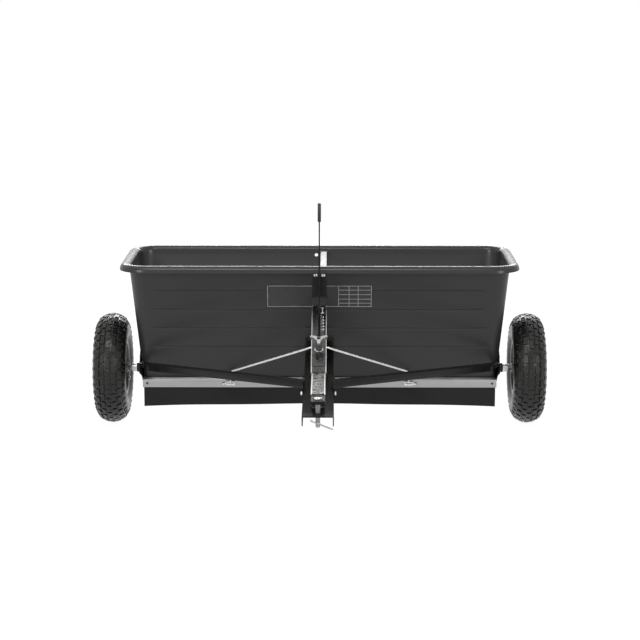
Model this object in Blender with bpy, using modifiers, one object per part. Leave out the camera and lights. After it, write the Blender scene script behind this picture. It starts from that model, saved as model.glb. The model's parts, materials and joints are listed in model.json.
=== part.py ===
# Tow-behind drop spreader with a long plastic hopper, ground-driven agitator and sliding shut-off plate.
# Metres, +Z up, +X to the right of someone facing the drawbar, -Y towards the tow vehicle, ground at Z = 0.
# Heights and places below are measured in the axle's frame: Y = 0 is the axle, and the whole assembly
# hangs on one empty that centres it front to back.

import bmesh
import bpy
from math import atan, atan2, cos, hypot, pi, radians, sin, tan
from mathutils import Matrix, Vector

# Fits
GAP = 0.0003
RUNNING_GAP = 0.0004

# Wheels and axle
TYRE_RADIUS = 0.1675
TYRE_WIDTH = 0.099
TREAD_DEPTH = 0.004
TREAD_PITCHES = 24
RIM_FLANGE_RADIUS = 0.087
RIM_SEAT_RADIUS = 0.0765
RIM_WIDTH = 0.082
RIM_THICKNESS = 0.0025
RIM_STEPS = 20
HUB_RADIUS = 0.0145
HUB_WIDTH = 0.088
HUB_AFTER_SPACER = 0.0104
AXLE_RADIUS = 0.008
AXLE_END_REACH = 0.014
BUSH_WALL = 0.003
BUSH_FLANGE_RADIUS = 0.0175
BUSH_FLANGE = 0.002
HUB_BUSH_LENGTH = 0.020
SPACER_RADIUS = 0.0125
SPACER_EDGE = 0.0008
SPACER_LENGTH = 0.0165
BUSH_BOSS_RADIUS = 0.014
BUSH_BOSS = 0.0165
WASHER = 0.0015
INNER_HAIRPIN_BEFORE_HUB = 0.0022
END_HAIRPIN_AFTER_WASHER = 0.0035
HAIRPIN_TWIST_DEG = 28.0
DRIVE_PIN_RADIUS = 0.0025
DRIVE_PIN_OUT = 0.016

# Hopper
HOPPER_HEIGHT = 0.3815
HOPPER_WALL = 0.004
HOPPER_FOOT_HALF_X = 0.5321
HOPPER_FOOT_HALF_Y = 0.0764
HOPPER_END_FLARE = 0.0299
HOPPER_SIDE_FLARE = 0.1056
HOPPER_FOOT_BELOW_AXLE = 0.034
FOOT_CORNER_RADIUS = 0.018
TOP_CORNER_RADIUS = 0.052
RIM_REACH = 0.030
RIM_DROP = 0.022
RIM_RISE = 0.022
GROOVE_COUNT = 4
GROOVE_PITCH = 0.060
GROOVE_FIRST_BELOW_RIM = 0.078
GROOVE_DEPTH = 0.0028
GROOVE_HALF_HEIGHT = 0.005
GROOVE_FADE = 0.030

# Metering pan, shut-off plate and skirt
SHEET = 0.0015
PAN_FLOOR_HALF = 0.032
PAN_SIDE_RISE = 0.038
PAN_FLANGE = 0.014
PAN_END_RISE = 0.088
PAN_END_SHORT_OF_FOOT = 0.0204
PAN_END_FLARE = 0.008
PAN_END_PLAY = 0.001
DROP_HOLE_PITCH = 0.054
DROP_HOLE_MARGIN = 0.060
DROP_HOLE_HALF = 0.006
PLATE_REAR_SHORT_OF_FOOT = 0.0204
GUIDE_BOLT_FROM_BEND = 0.008
PAN_CORNER_NOTCH = 0.020
PAN_CORNER_CLEARANCE = 0.001
STRIP_AHEAD_OF_FOOT = 0.0176
STRIP_BELOW_PLATE = 0.0045
RIVET_RADIUS = 0.002
RIVET_ABOVE_FOOT = 0.006
STRIP_RISE = 0.017
STRIP_LIP = 0.0065
STRIP_PAST_FOOT = 0.0014
SKIRT_THICKNESS = 0.002
SKIRT_SHORT_OF_STRIP = 0.0035
SKIRT_BOTTOM_Z = 0.068
SKIRT_WAVE = 0.0035
SKIRT_BOW = 0.010
OUTER_RIVET_IN_STRIP = 0.0135
INNER_RIVET_PAST_ROD = 0.022

# Agitator
PADDLE_MARGIN = 0.060
PADDLE_RADIUS = 0.025
PADDLE_PITCH = 0.090
PADDLE_THICKNESS = 0.003
PADDLE_HALF_WIDTH = 0.006
PADDLE_RING_RADIUS = 0.0125

# Drawbar: channel below, square tube on it, hitch plate and pin in front
WEB_ABOVE_AXLE = 0.0705
CHANNEL_WIDTH = 0.084
CHANNEL_DEPTH = 0.026
CHANNEL_WALL = 0.003
CHANNEL_FRONT_Y = -0.892
CHANNEL_TAB_RISE = 0.050
TAB_BOLT_X = 0.031
TAB_BOLT_RISE = 0.030
TUBE_SIZE = 0.0381
TUBE_WALL = 0.0025
TUBE_BEHIND_PIN = 0.052
FRONT_TUBE_BOLT_BEHIND_FOOT = 0.085
REAR_TUBE_BOLT_BEHIND_PIVOT = 0.072
HITCH_PLATE_THICKNESS = 0.005
HITCH_PLATE_HALF_X = 0.019
HITCH_PLATE_AHEAD_OF_PIN = 0.024
HITCH_PLATE_LIP = 0.009
HITCH_PLATE_INSERT = 0.060
PIN_IN_CHANNEL = 0.044
HITCH_PIN_RADIUS = 0.0062
HITCH_PIN_HEAD_RADIUS = 0.0108
HITCH_PIN_HEAD = 0.004
HITCH_PIN_LENGTH = 0.076
HITCH_HAIRPIN_DROOP_DEG = 22.0
SEAT_MARGIN = 0.0015
HAIRPIN_WIRE = 0.00125

# Flow bracket and its scale, sloping up from the tube to the hopper
BRACKET_WIDTH = 0.0430
BRACKET_THICKNESS = 0.002
BRACKET_SIDE_DEPTH = 0.024
BRACKET_FOOT_AHEAD_OF_PIVOT = 0.293
BRACKET_SLOPE_DEG = 19.9
CROSS_BOLT_BEHIND_FOOT = 0.025
BRACKET_LUG_DEPTH = 0.030
CROSS_BOLT_BELOW_TUBE_TOP = 0.013
BRACKET_TAB_TOP_BELOW_RIM = 0.017
BRACKET_TAB_HALF_TOP = 0.0185
BRACKET_BOLT_X = 0.0115
BRACKET_BOLT_BELOW_RIM = 0.028
SLOT_HALF_WIDTH = 0.0035
SLOT_START = 0.089
SLOT_END = 0.365
SCALE_THICKNESS = 0.0008
SCALE_START = 0.030
SCALE_END = 0.350

# Flow lever, its pivot in the tube and the V rod that it pulls
LEVER_PIVOT_Y = -0.262
LEVER_REST_LEAN_DEG = 6.0
LEVER_SWING_DEG = 38.0
LEVER_THICKNESS = 0.004
LEVER_HALF_WIDTH = 0.009
LEVER_LENGTH = 0.445
GRIP_LENGTH = 0.056
GRIP_THICKNESS = 0.010
GRIP_HALF_WIDTH = 0.0125
PIVOT_RADIUS = 0.004
ROD_RADIUS = 0.0035
ROD_ABOVE_TUBE = 0.0085
ROD_CROSS_HALF_X = 0.027
ROD_END_X = 0.268
ROD_END_AHEAD_OF_STRIP = 0.013
ROD_END_ABOVE_STRIP = 0.030
ROD_END_DROP = 0.014
ROD_TAB_HALF_X = 0.013
ROD_TAB_REACH = 0.0215
ROD_TAB = 0.002
ROD_SLACK = 0.0016

# Adjustable stop on the bracket's slot
STOP_AT = 0.115
STOP_STUD_RADIUS = 0.003
STOP_WASHER_RADIUS = 0.0130
STOP_WASHER = 0.002
STOP_KNOB_HEIGHT = 0.034
KNOB_REACH = 0.0235
KNOB_HUB_RADIUS = 0.0095
KNOB_THICKNESS = 0.010
KNOB_BORE = 0.0042
KNOB_SIDES = 30

# Braces from the hopper ends to the drawbar
BRACE_TOP = 0.025
BRACE_SIDE = 0.020
BRACE_THICKNESS = 0.0025
BRACE_PAST_FOOT = 0.0144
BRACE_AHEAD_OF_FOOT = 0.0456
BRACE_OUTER_ABOVE_AXLE = 0.0405
BRACE_INNER_Y = -0.560
BRACE_INNER_ABOVE_AXLE = 0.0875
BRACE_BOLT_SPACING = 0.106
BRACE_BOLT_FIRST_Y = -0.490
BRACE_BOLT_BELOW_WEB = 0.0085
BRACE_END_BOLT_IN = 0.018
BRACE_END_HEAD_LIFT = 0.0004
BRACE_END_NUT_DROP = 0.0016

# End plates
END_PLATE = 0.003
END_PLATE_SHORT_OF_FOOT = 0.0064
END_PLATE_SWELL = 0.010
END_PLATE_BELOW_AXLE = 0.028
END_PLATE_ABOVE_AXLE = 0.064
EAR_AHEAD_OF_BOLT = 0.016
EAR_BEHIND_BOLT = 0.017
END_HOLE_SLACK = 0.0012
END_BOLT_SHORT_OF_FOOT = 0.0264
END_BOLT_ABOVE_AXLE = 0.044
END_BOLT_ABOVE_FOOT = 0.021
EAR_TAB_LENGTH = 0.026
EAR_TAB_WIDTH = 0.028
EAR_FRONT_HEIGHT = 0.024
EAR_FOOT_SLANT = 0.012
EAR_FOOT_RISE = 0.020

# Cross strap over the hopper
STRAP_WIDTH = 0.018
STRAP_THICKNESS = 0.002
STRAP_BELOW_RIM = 0.014
STRAP_TAB = 0.010
SPARE_HOLE_RADIUS = 0.005

# Fasteners: radii, and the other sizes as multiples of the radius
BOLT_M6 = 0.003
BOLT_M8 = 0.004
NUT_HALF_WIDTH = 1.67
NUT_HEIGHT = 1.6
BOLT_HEAD_HEIGHT = 1.35
THREAD_PAST_GRIP = 2.4
FUSE = 0.0002

# Widths and places that follow from the sizes above
HOPPER_TOP_HALF_X = HOPPER_FOOT_HALF_X + HOPPER_END_FLARE
HOPPER_TOP_HALF_Y = HOPPER_FOOT_HALF_Y + HOPPER_SIDE_FLARE
STRIP_HALF_X = HOPPER_FOOT_HALF_X + STRIP_PAST_FOOT
STRIP_FRONT_Y = -HOPPER_FOOT_HALF_Y - STRIP_AHEAD_OF_FOOT
SKIRT_HALF_X = STRIP_HALF_X - SKIRT_SHORT_OF_STRIP
OUTER_RIVET_X = STRIP_HALF_X - OUTER_RIVET_IN_STRIP
INNER_RIVET_X = ROD_END_X + INNER_RIVET_PAST_ROD
SKIRT_RIVET_XS = (-OUTER_RIVET_X, -INNER_RIVET_X, INNER_RIVET_X, OUTER_RIVET_X)
PLATE_REAR_REACH = HOPPER_FOOT_HALF_Y - PLATE_REAR_SHORT_OF_FOOT
PAN_END_HALF_Y = HOPPER_FOOT_HALF_Y - PAN_END_SHORT_OF_FOOT
GUIDE_BOLT_Y = PAN_FLOOR_HALF - GUIDE_BOLT_FROM_BEND
DROP_HOLE_COUNT = int(2 * (HOPPER_FOOT_HALF_X - DROP_HOLE_MARGIN) / DROP_HOLE_PITCH) + 1
PADDLE_COUNT = int(2 * (HOPPER_FOOT_HALF_X - PADDLE_MARGIN) / PADDLE_PITCH) + 1
ROD_END_Y = STRIP_FRONT_Y - ROD_END_AHEAD_OF_STRIP
END_PLATE_HALF_Y = HOPPER_FOOT_HALF_Y - END_PLATE_SHORT_OF_FOOT
END_BOLT_HALF_Y = HOPPER_FOOT_HALF_Y - END_BOLT_SHORT_OF_FOOT
BRACE_OUTER_X = HOPPER_FOOT_HALF_X + BRACE_PAST_FOOT
BRACE_OUTER_Y = -HOPPER_FOOT_HALF_Y - BRACE_AHEAD_OF_FOOT
END_PLATE_EAR_Y = BRACE_OUTER_Y - EAR_AHEAD_OF_BOLT
EAR_REAR_Y = BRACE_OUTER_Y + EAR_BEHIND_BOLT
HITCH_PIN_Y = CHANNEL_FRONT_Y + PIN_IN_CHANNEL
HITCH_PLATE_FRONT_Y = HITCH_PIN_Y - HITCH_PLATE_AHEAD_OF_PIN
TUBE_FRONT_Y = HITCH_PIN_Y + TUBE_BEHIND_PIN
BRACKET_FOOT_Y = LEVER_PIVOT_Y - BRACKET_FOOT_AHEAD_OF_PIVOT
BRACKET_CROSS_BOLT_Y = BRACKET_FOOT_Y + CROSS_BOLT_BEHIND_FOOT
TUBE_BOLT_YS = (BRACKET_FOOT_Y + FRONT_TUBE_BOLT_BEHIND_FOOT, LEVER_PIVOT_Y + REAR_TUBE_BOLT_BEHIND_PIVOT)

# Heights that follow from the sizes above
AXLE_Z = TYRE_RADIUS
FOOT_Z = AXLE_Z - HOPPER_FOOT_BELOW_AXLE
RIM_TOP_Z = FOOT_Z + HOPPER_HEIGHT
WALL_TOP_Z = RIM_TOP_Z - RIM_RISE
WEB_TOP_Z = AXLE_Z + WEB_ABOVE_AXLE
TUBE_BOTTOM_Z = WEB_TOP_Z + GAP
TUBE_TOP_Z = TUBE_BOTTOM_Z + TUBE_SIZE
BRACKET_FOOT_Z = TUBE_TOP_Z + GAP + BRACKET_THICKNESS
LEVER_PIVOT_Z = TUBE_TOP_Z - TUBE_SIZE / 2
ROD_Z = TUBE_TOP_Z + ROD_ABOVE_TUBE
BRACKET_SLOPE = radians(BRACKET_SLOPE_DEG)
LEVER_LEAN = radians(LEVER_REST_LEAN_DEG)
WALL_SLOPE_X = (HOPPER_TOP_HALF_X - HOPPER_FOOT_HALF_X) / (WALL_TOP_Z - FOOT_Z)
WALL_SLOPE_Y = (HOPPER_TOP_HALF_Y - HOPPER_FOOT_HALF_Y) / (WALL_TOP_Z - FOOT_Z)
END_TILT = atan(WALL_SLOPE_X)
FRONT_TILT = atan(WALL_SLOPE_Y)
REAR_REACH = HOPPER_TOP_HALF_Y + RIM_REACH
CENTRE_SHIFT_Y = (-CHANNEL_FRONT_Y - REAR_REACH) / 2
HAIRPIN_TWIST = radians(HAIRPIN_TWIST_DEG)
HITCH_HAIRPIN_DROOP = radians(HITCH_HAIRPIN_DROOP_DEG)
RIVET_Z = FOOT_Z + RIVET_ABOVE_FOOT
CROSS_BOLT_Z = TUBE_TOP_Z - CROSS_BOLT_BELOW_TUBE_TOP
BRACE_BOLT_Z = WEB_TOP_Z - BRACE_BOLT_BELOW_WEB
EAR_TOP = BRACE_OUTER_ABOVE_AXLE - GAP - BRACE_THICKNESS
END_HOLE_RADIUS = AXLE_RADIUS + BUSH_WALL + END_HOLE_SLACK

# What the lever's swing does to the rod and the plate
ROD_RISE = ROD_Z - LEVER_PIVOT_Z
LEVER_FORWARD = radians(LEVER_SWING_DEG) - LEVER_LEAN
PLATE_TRAVEL = ROD_RISE * (tan(LEVER_LEAN) + tan(LEVER_FORWARD))
CROSS_Y = LEVER_PIVOT_Y + ROD_RISE * tan(LEVER_LEAN)

# Places along the axle
BUSH_SEAT_X = HOPPER_FOOT_HALF_X + HOPPER_FOOT_BELOW_AXLE * WALL_SLOPE_X + (GAP + END_PLATE) / cos(END_TILT)
BUSH_FACE_X = BUSH_SEAT_X + BUSH_FLANGE_RADIUS * tan(END_TILT) + GAP
SPACER_X = BUSH_FACE_X + BUSH_FLANGE + BUSH_BOSS + GAP
HUB_INNER_X = SPACER_X + SPACER_LENGTH + HUB_AFTER_SPACER
WHEEL_X = HUB_INNER_X + BUSH_FLANGE + GAP + HUB_WIDTH / 2
HUB_OUTER_X = WHEEL_X + HUB_WIDTH / 2 + GAP + BUSH_FLANGE
INNER_HAIRPIN_X = HUB_INNER_X - INNER_HAIRPIN_BEFORE_HUB
OUTER_HAIRPIN_X = HUB_OUTER_X + GAP + WASHER + END_HAIRPIN_AFTER_WASHER

# Colour, roughness and metallic of each material
MATERIALS = {
    "hopper_plastic": ((0.040, 0.040, 0.042), 0.45, 0.0),
    "black_paint": ((0.020, 0.020, 0.019), 0.40, 0.0),
    "zinc": ((0.62, 0.62, 0.60), 0.32, 1.0),
    "galvanised": ((0.42, 0.43, 0.43), 0.45, 1.0),
    "tyre_rubber": ((0.022, 0.022, 0.021), 0.75, 0.0),
    "rim_grey": ((0.22, 0.22, 0.21), 0.45, 0.0),
    "skirt_rubber": ((0.026, 0.026, 0.027), 0.60, 0.0),
    "grip_plastic": ((0.015, 0.015, 0.015), 0.50, 0.0),
    "knob_grey": ((0.30, 0.30, 0.29), 0.45, 0.0),
    "bush_nylon": ((0.55, 0.55, 0.52), 0.50, 0.0),
    "steel": ((0.45, 0.45, 0.44), 0.35, 1.0),
}


def clear_scene():
    for obj in list(bpy.data.objects):
        bpy.data.objects.remove(obj)


def collection(name, hidden=False):
    made = bpy.data.collections.new(name)
    made.hide_render = hidden
    bpy.context.scene.collection.children.link(made)
    return made


def make_materials():
    for name, (colour, roughness, metallic) in MATERIALS.items():
        material = bpy.data.materials.new(name)
        material.use_nodes = True
        shader = material.node_tree.nodes["Principled BSDF"]
        shader.inputs["Base Color"].default_value = (*colour, 1.0)
        shader.inputs["Roughness"].default_value = roughness
        shader.inputs["Metallic"].default_value = metallic


def empty(name, location, parent=None, rotation=(0.0, 0.0, 0.0)):
    made = bpy.data.objects.new(name, None)
    made.location = location
    made.rotation_euler = rotation
    made.parent = parent
    PARTS.objects.link(made)
    return made


def add(name, data, material, parent, location=(0.0, 0.0, 0.0), rotation=(0.0, 0.0, 0.0)):
    """Puts mesh or curve data in the model as one named sub-part."""
    made = bpy.data.objects.new(name, data)
    data.materials.append(bpy.data.materials[material])
    made.location = location
    made.rotation_euler = rotation
    made.parent = parent
    PARTS.objects.link(made)
    return made


def smooth(obj, angle_deg=35):
    obj.data.shade_smooth()
    obj.data.set_sharp_from_angle(angle=radians(angle_deg))
    return obj


def mesh_from(bm, name):
    bmesh.ops.recalc_face_normals(bm, faces=bm.faces)
    mesh = bpy.data.meshes.new(name)
    bm.to_mesh(mesh)
    bm.free()
    return mesh


def circle(cx, cy, radius, sides=12, turn=0.0):
    return [
        (cx + radius * cos(turn + 2 * pi * k / sides), cy + radius * sin(turn + 2 * pi * k / sides))
        for k in range(sides)
    ]


def slot_outline(cx, cy, half_length, half_width, sides=8):
    """A slot with round ends, long along its second coordinate."""
    straight = half_length - half_width
    points = []
    for k in range(sides // 2 + 1):
        a = pi * k / (sides // 2)
        points.append((cx + half_width * cos(a), cy + straight + half_width * sin(a)))
    for k in range(sides // 2 + 1):
        a = pi + pi * k / (sides // 2)
        points.append((cx + half_width * cos(a), cy - straight + half_width * sin(a)))
    return points


PLANE_ROTATION = {
    "XY": (0.0, 0.0, 0.0),
    "XZ": (pi / 2, 0.0, 0.0),
    "YZ": (pi / 2, 0.0, pi / 2),
}


def plate_curve(name, outline, thickness, holes=()):
    """A flat plate: a filled 2D curve extruded by half its thickness each way."""
    curve = bpy.data.curves.new(name, "CURVE")
    curve.dimensions = "2D"
    curve.fill_mode = "BOTH"
    curve.extrude = thickness / 2
    for loop in (outline, *holes):
        spline = curve.splines.new("POLY")
        spline.points.add(len(loop) - 1)
        for point, (u, v) in zip(spline.points, loop):
            point.co = (u, v, 0.0, 1.0)
        spline.use_cyclic_u = True
    return curve


def plate(name, outline, thickness, material, parent, plane="XY", at=(0, 0, 0), holes=()):
    curve = plate_curve(name, outline, thickness, holes)
    return add(name, curve, material, parent, at, PLANE_ROTATION[plane])


def to_mesh_object(obj, name=None):
    """Turns a curve or modified object into a plain closed mesh object in the same place."""
    bpy.context.view_layer.update()
    graph = bpy.context.evaluated_depsgraph_get()
    mesh = bpy.data.meshes.new_from_object(obj.evaluated_get(graph))
    bm = bmesh.new()
    bm.from_mesh(mesh)
    bmesh.ops.remove_doubles(bm, verts=bm.verts, dist=0.00002)
    bmesh.ops.recalc_face_normals(bm, faces=bm.faces)
    bm.to_mesh(mesh)
    bm.free()
    label = name or obj.name
    parent, matrix, material = obj.parent, obj.matrix_local.copy(), obj.data.materials[0]
    bpy.data.objects.remove(obj)
    made = bpy.data.objects.new(label, mesh)
    made.name = label
    if not mesh.materials:
        mesh.materials.append(material)
    made.parent = parent
    made.matrix_local = matrix
    PARTS.objects.link(made)
    return made


def wire_curve(name, radius, resolution):
    curve = bpy.data.curves.new(name, "CURVE")
    curve.dimensions = "3D"
    curve.bevel_depth = radius
    curve.bevel_resolution = resolution
    curve.use_fill_caps = True
    return curve


def add_wire(curve, points):
    """One straight-run wire through the given points, with filled ends."""
    spline = curve.splines.new("POLY")
    spline.points.add(len(points) - 1)
    for point, place in zip(spline.points, points):
        point.co = (*place, 1.0)


def turned(name, profile, material, parent, closed=False, steps=24, at=(0, 0, 0), rotation=(0, 0, 0)):
    """A turned piece about its own Z axis. The profile is (radius, height), down its outer side."""
    mesh = bpy.data.meshes.new(name)
    edges = [(k, k + 1) for k in range(len(profile) - 1)]
    if closed:
        edges.append((len(profile) - 1, 0))
    mesh.from_pydata([(r, 0.0, h) for r, h in profile], edges, [])
    made = add(name, mesh, material, parent, at, rotation)
    screw = made.modifiers.new("turn", "SCREW")
    screw.steps = steps
    screw.render_steps = steps
    screw.use_merge_vertices = True
    screw.merge_threshold = 0.00002
    screw.use_smooth_shade = True
    return made


ALONG_X = (0.0, pi / 2, 0.0)
ALONG_MINUS_X = (0.0, -pi / 2, 0.0)


def wall_outline(path, thickness):
    """The closed outline of a bent sheet whose one face follows the path; the sheet lies to its left."""
    offset = []
    for k, (u, v) in enumerate(path):
        before = path[k - 1] if k else None
        after = path[k + 1] if k + 1 < len(path) else None
        normals = []
        for a, b in ((before, (u, v)), ((u, v), after)):
            if a is None or b is None:
                continue
            length = hypot(b[0] - a[0], b[1] - a[1])
            normals.append((-(b[1] - a[1]) / length, (b[0] - a[0]) / length))
        nu = sum(n[0] for n in normals) / len(normals)
        nv = sum(n[1] for n in normals) / len(normals)
        scale = thickness / (nu * nu + nv * nv)
        offset.append((u + nu * scale, v + nv * scale))
    return list(path) + offset[::-1]


def cutter(name, parts, parent):
    """One hidden mesh of cylinders and boxes, each (kind, centre, size, rotation), for a Boolean."""
    bm = bmesh.new()
    for kind, centre, size, rotation in parts:
        matrix = Matrix.Translation(centre) @ rotation.to_4x4()
        if kind == "cylinder":
            bmesh.ops.create_cone(
                bm, cap_ends=True, segments=size[2], radius1=size[0], radius2=size[0],
                depth=size[1], matrix=matrix,
            )
        else:
            bmesh.ops.create_cube(bm, size=1.0, matrix=matrix @ Matrix.Diagonal((*size, 1.0)))
    made = bpy.data.objects.new(name, mesh_from(bm, name))
    made.hide_render = True
    made.display_type = "WIRE"
    made.parent = parent
    CUTTERS.objects.link(made)
    return made


def cut(obj, parts, parent=None):
    tool = cutter(obj.name + "_cut", parts, parent or obj.parent)
    boolean = obj.modifiers.new("cut", "BOOLEAN")
    boolean.operation = "DIFFERENCE"
    boolean.solver = "EXACT"
    boolean.object = tool
    return obj


def join(obj, other):
    """Unites another object into this one, and keeps the other as a hidden helper."""
    PARTS.objects.unlink(other)
    CUTTERS.objects.link(other)
    other.hide_render = True
    other.display_type = "WIRE"
    other.name = obj.name + "_join"
    boolean = obj.modifiers.new("join", "BOOLEAN")
    boolean.operation = "UNION"
    boolean.solver = "EXACT"
    boolean.object = other
    return obj


def turn_to(axis):
    """The rotation that takes Z to an axis."""
    return Vector((0, 0, 1)).rotation_difference(Vector(axis).normalized()).to_matrix()


def hole(centre, axis, radius, depth, sides=8):
    return ("cylinder", Vector(centre), (radius, depth, sides), turn_to(axis))


def block(centre, size, rotation=None):
    return ("box", Vector(centre), size, rotation or Matrix.Identity(3))


def wall_half_x(z):
    return HOPPER_FOOT_HALF_X + (z - FOOT_Z) * WALL_SLOPE_X


def wall_half_y(z):
    return HOPPER_FOOT_HALF_Y + (z - FOOT_Z) * WALL_SLOPE_Y


def side_name(side):
    return "left" if side < 0 else "right"


# Wheels

TYRE_SIDE = ((0.76, 0.0), (0.76, 0.14), (1.00, 0.41), (0.99, 0.62))
TREAD_EDGES = ((0.93, 0.77), (0.40, 0.975))
TYRE_INSIDE = ((0.66, 0.06), (0.90, 0.42), (0.80, 0.68), (0.34, 0.90))


def tyre_point(across, up):
    bead = (RIM_SEAT_RADIUS + GAP) / cos(pi / TREAD_PITCHES)
    return (bead + up * (TYRE_RADIUS - TREAD_DEPTH - bead), across * TYRE_WIDTH / 2)


def tyre_profile():
    outer = [tyre_point(*p) for p in (*TYRE_SIDE, *TREAD_EDGES)]
    inner = [tyre_point(*p) for p in TYRE_INSIDE]
    return (
        outer
        + [(r, -a) for r, a in reversed(outer)]
        + [(r, -a) for r, a in inner]
        + [(r, a) for r, a in reversed(inner)]
    )


def raise_tread(mesh):
    """Raises a block on each face of the tread, then sets its outer radius and stands it on a block."""
    bm = bmesh.new()
    bm.from_mesh(mesh)
    lowest = tyre_point(*TREAD_EDGES[0])[0]
    blocks = [
        f for f in bm.faces
        if all(hypot(v.co.x, v.co.y) > lowest - 0.0001 for v in f.verts) and f.normal.dot(radial(f)) > 0
    ]
    bmesh.ops.inset_individual(bm, faces=blocks, thickness=0.0024, depth=TREAD_DEPTH, use_even_offset=True)
    far = max(bm.verts, key=lambda v: hypot(v.co.x, v.co.y))
    grow = TYRE_RADIUS / hypot(far.co.x, far.co.y)
    turn = Matrix.Rotation(-atan2(far.co.y, far.co.x), 3, "Z")
    for v in bm.verts:
        if hypot(v.co.x, v.co.y) > lowest + 0.001:
            v.co.x *= grow
            v.co.y *= grow
    for v in bm.verts:
        v.co = turn @ v.co
    bm.to_mesh(mesh)
    bm.free()


def radial(face):
    centre = face.calc_center_median()
    return Vector((centre.x, centre.y, 0.0))


def make_tyre(side, wheel):
    tyre = turned(
        f"tyre_{side_name(side)}", tyre_profile(), "tyre_rubber", wheel,
        closed=True, steps=TREAD_PITCHES, rotation=ALONG_X,
    )
    tyre = to_mesh_object(tyre)
    raise_tread(tyre.data)
    smooth(tyre)


def rim_profile():
    """Barrel with two flanges, a dished disc in the middle and the hub tube, as one welded section."""
    half = RIM_WIDTH / 2
    inside = RIM_SEAT_RADIUS - RIM_THICKNESS
    disc = RIM_THICKNESS / 2
    dish = 0.008
    bore = AXLE_RADIUS + BUSH_WALL + GAP
    hub_end = HUB_WIDTH / 2
    return [
        (RIM_FLANGE_RADIUS, half),
        (RIM_FLANGE_RADIUS, half - RIM_THICKNESS),
        (RIM_SEAT_RADIUS, half - RIM_THICKNESS),
        (RIM_SEAT_RADIUS, RIM_THICKNESS - half),
        (RIM_FLANGE_RADIUS, RIM_THICKNESS - half),
        (RIM_FLANGE_RADIUS, -half),
        (inside, -half),
        (inside, -disc),
        (inside * 0.70, dish - disc),
        (HUB_RADIUS * 1.6, dish - disc),
        (HUB_RADIUS, -disc),
        (HUB_RADIUS, -hub_end),
        (bore, -hub_end),
        (bore, hub_end),
        (HUB_RADIUS, hub_end),
        (HUB_RADIUS, disc),
        (HUB_RADIUS * 1.6, dish + disc),
        (inside * 0.70, dish + disc),
        (inside, disc),
        (inside, half),
    ]


def bush_profile(barrel_end, barrel_radius, flange_radius, flange, boss_radius=None, boss=0.0):
    """A flanged bush, down its outer side and back up its bore. Height 0 is the flange's inner face."""
    bore = AXLE_RADIUS + RUNNING_GAP
    crown = [(boss_radius, flange + boss), (boss_radius, flange)] if boss else []
    return [
        *crown,
        (flange_radius, flange),
        (flange_radius, 0.0),
        (barrel_radius, 0.0),
        (barrel_radius, -barrel_end),
        (bore, -barrel_end),
        (bore, flange + boss),
    ]


def make_wheel(side, spin_parent):
    label = side_name(side)
    wheel = empty(f"wheel_centre_{label}", (side * WHEEL_X, 0, 0), spin_parent)
    make_tyre(side, wheel)
    rim = turned(
        f"rim_{label}", rim_profile(), "rim_grey", wheel, closed=True, steps=RIM_STEPS,
        rotation=ALONG_X if side > 0 else ALONG_MINUS_X,
    )
    if side < 0:
        cut(rim, [drive_pin_hole(-DRIVE_PIN_OUT)], wheel)
    smooth(rim)
    profile = bush_profile(HUB_BUSH_LENGTH, AXLE_RADIUS + BUSH_WALL, HUB_RADIUS - 0.001, BUSH_FLANGE)
    for end, place in ((-side, "inner"), (side, "outer")):
        along = ALONG_X if end > 0 else ALONG_MINUS_X
        at = (end * (HUB_WIDTH / 2 + GAP), 0, 0)
        turned(f"hub_bush_{label}_{place}", profile, "bush_nylon", wheel, True, 12, at, along)
    valve_x = side * RIM_WIDTH / 4
    valve_top = (RIM_SEAT_RADIUS - RIM_THICKNESS) * cos(pi / RIM_STEPS) - GAP
    valve = ((0.0042, 0.0), (0.0042, -0.010), (0.0028, -0.011), (0.0028, -0.022), (0.0, -0.022))
    turned(
        f"valve_{label}", [(0.0, 0.0), *valve], "tyre_rubber", wheel, steps=10, at=(valve_x, 0, valve_top)
    )
    return wheel


# Wire hairpin: a straight leg that passes through the pin, a spring eye and a bowed leg that wraps it

def hairpin_points(pin_radius):
    """Centreline in its own XZ plane. X runs along the straight leg, whose hole is at the origin."""
    bow = pin_radius + HAIRPIN_WIRE + 2 * GAP
    eye = 0.0042
    leg = pin_radius + 0.016
    tip = -(pin_radius + 0.008)
    points = [(tip, 0.0), (leg, 0.0)]
    for k in range(1, 5):
        a = -pi / 2 + k * pi * 1.15 / 5
        points.append((leg + 1.3 * eye * cos(a), eye + eye * sin(a)))
    points += [
        (leg - 0.004, eye * 1.7),
        (pin_radius + 0.003, bow * 0.62),
        (pin_radius * 0.35, bow * 1.08),
        (-pin_radius * 0.35, bow * 1.08),
        (-pin_radius - 0.002, bow * 0.62),
        (tip - 0.002, bow * 1.05),
    ]
    return [(u, 0.0, v) for u, v in points]


def hairpin(name, pin_radius, parent, at, matrix):
    """The matrix turns the hairpin's own X (leg) and Z (bow) to where they lie."""
    curve = wire_curve(name, HAIRPIN_WIRE, 1)
    add_wire(curve, [Vector(at) + matrix @ Vector(p) for p in hairpin_points(pin_radius)])
    return add(name, curve, "zinc", parent)


def frame_of(leg, bow):
    """Rotation whose X is the leg and whose Z is the bow."""
    x = Vector(leg).normalized()
    z = Vector(bow).normalized()
    return Matrix((x, z.cross(x), z)).transposed()


def hairpin_hole(at, leg, pin_radius):
    return hole(at, leg, HAIRPIN_WIRE + 0.0004, 4 * pin_radius, 6)


# Fasteners: a bolt and the nut on its thread are one closed stack of rings

def ring(radius, height, hexagon=False, sides=6):
    """A circle of 6 or 12 points, or a hexagon of that half width with a flat side towards +X."""
    points = []
    for k in range(sides):
        a = 2 * pi * (k + 0.5 * (sides == 6)) / sides
        corner = hexagon and (sides == 6 or k % 2)
        reach = radius / cos(pi / 6) if corner else radius
        points.append(Vector((reach * cos(a), reach * sin(a), height)))
    return points


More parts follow.
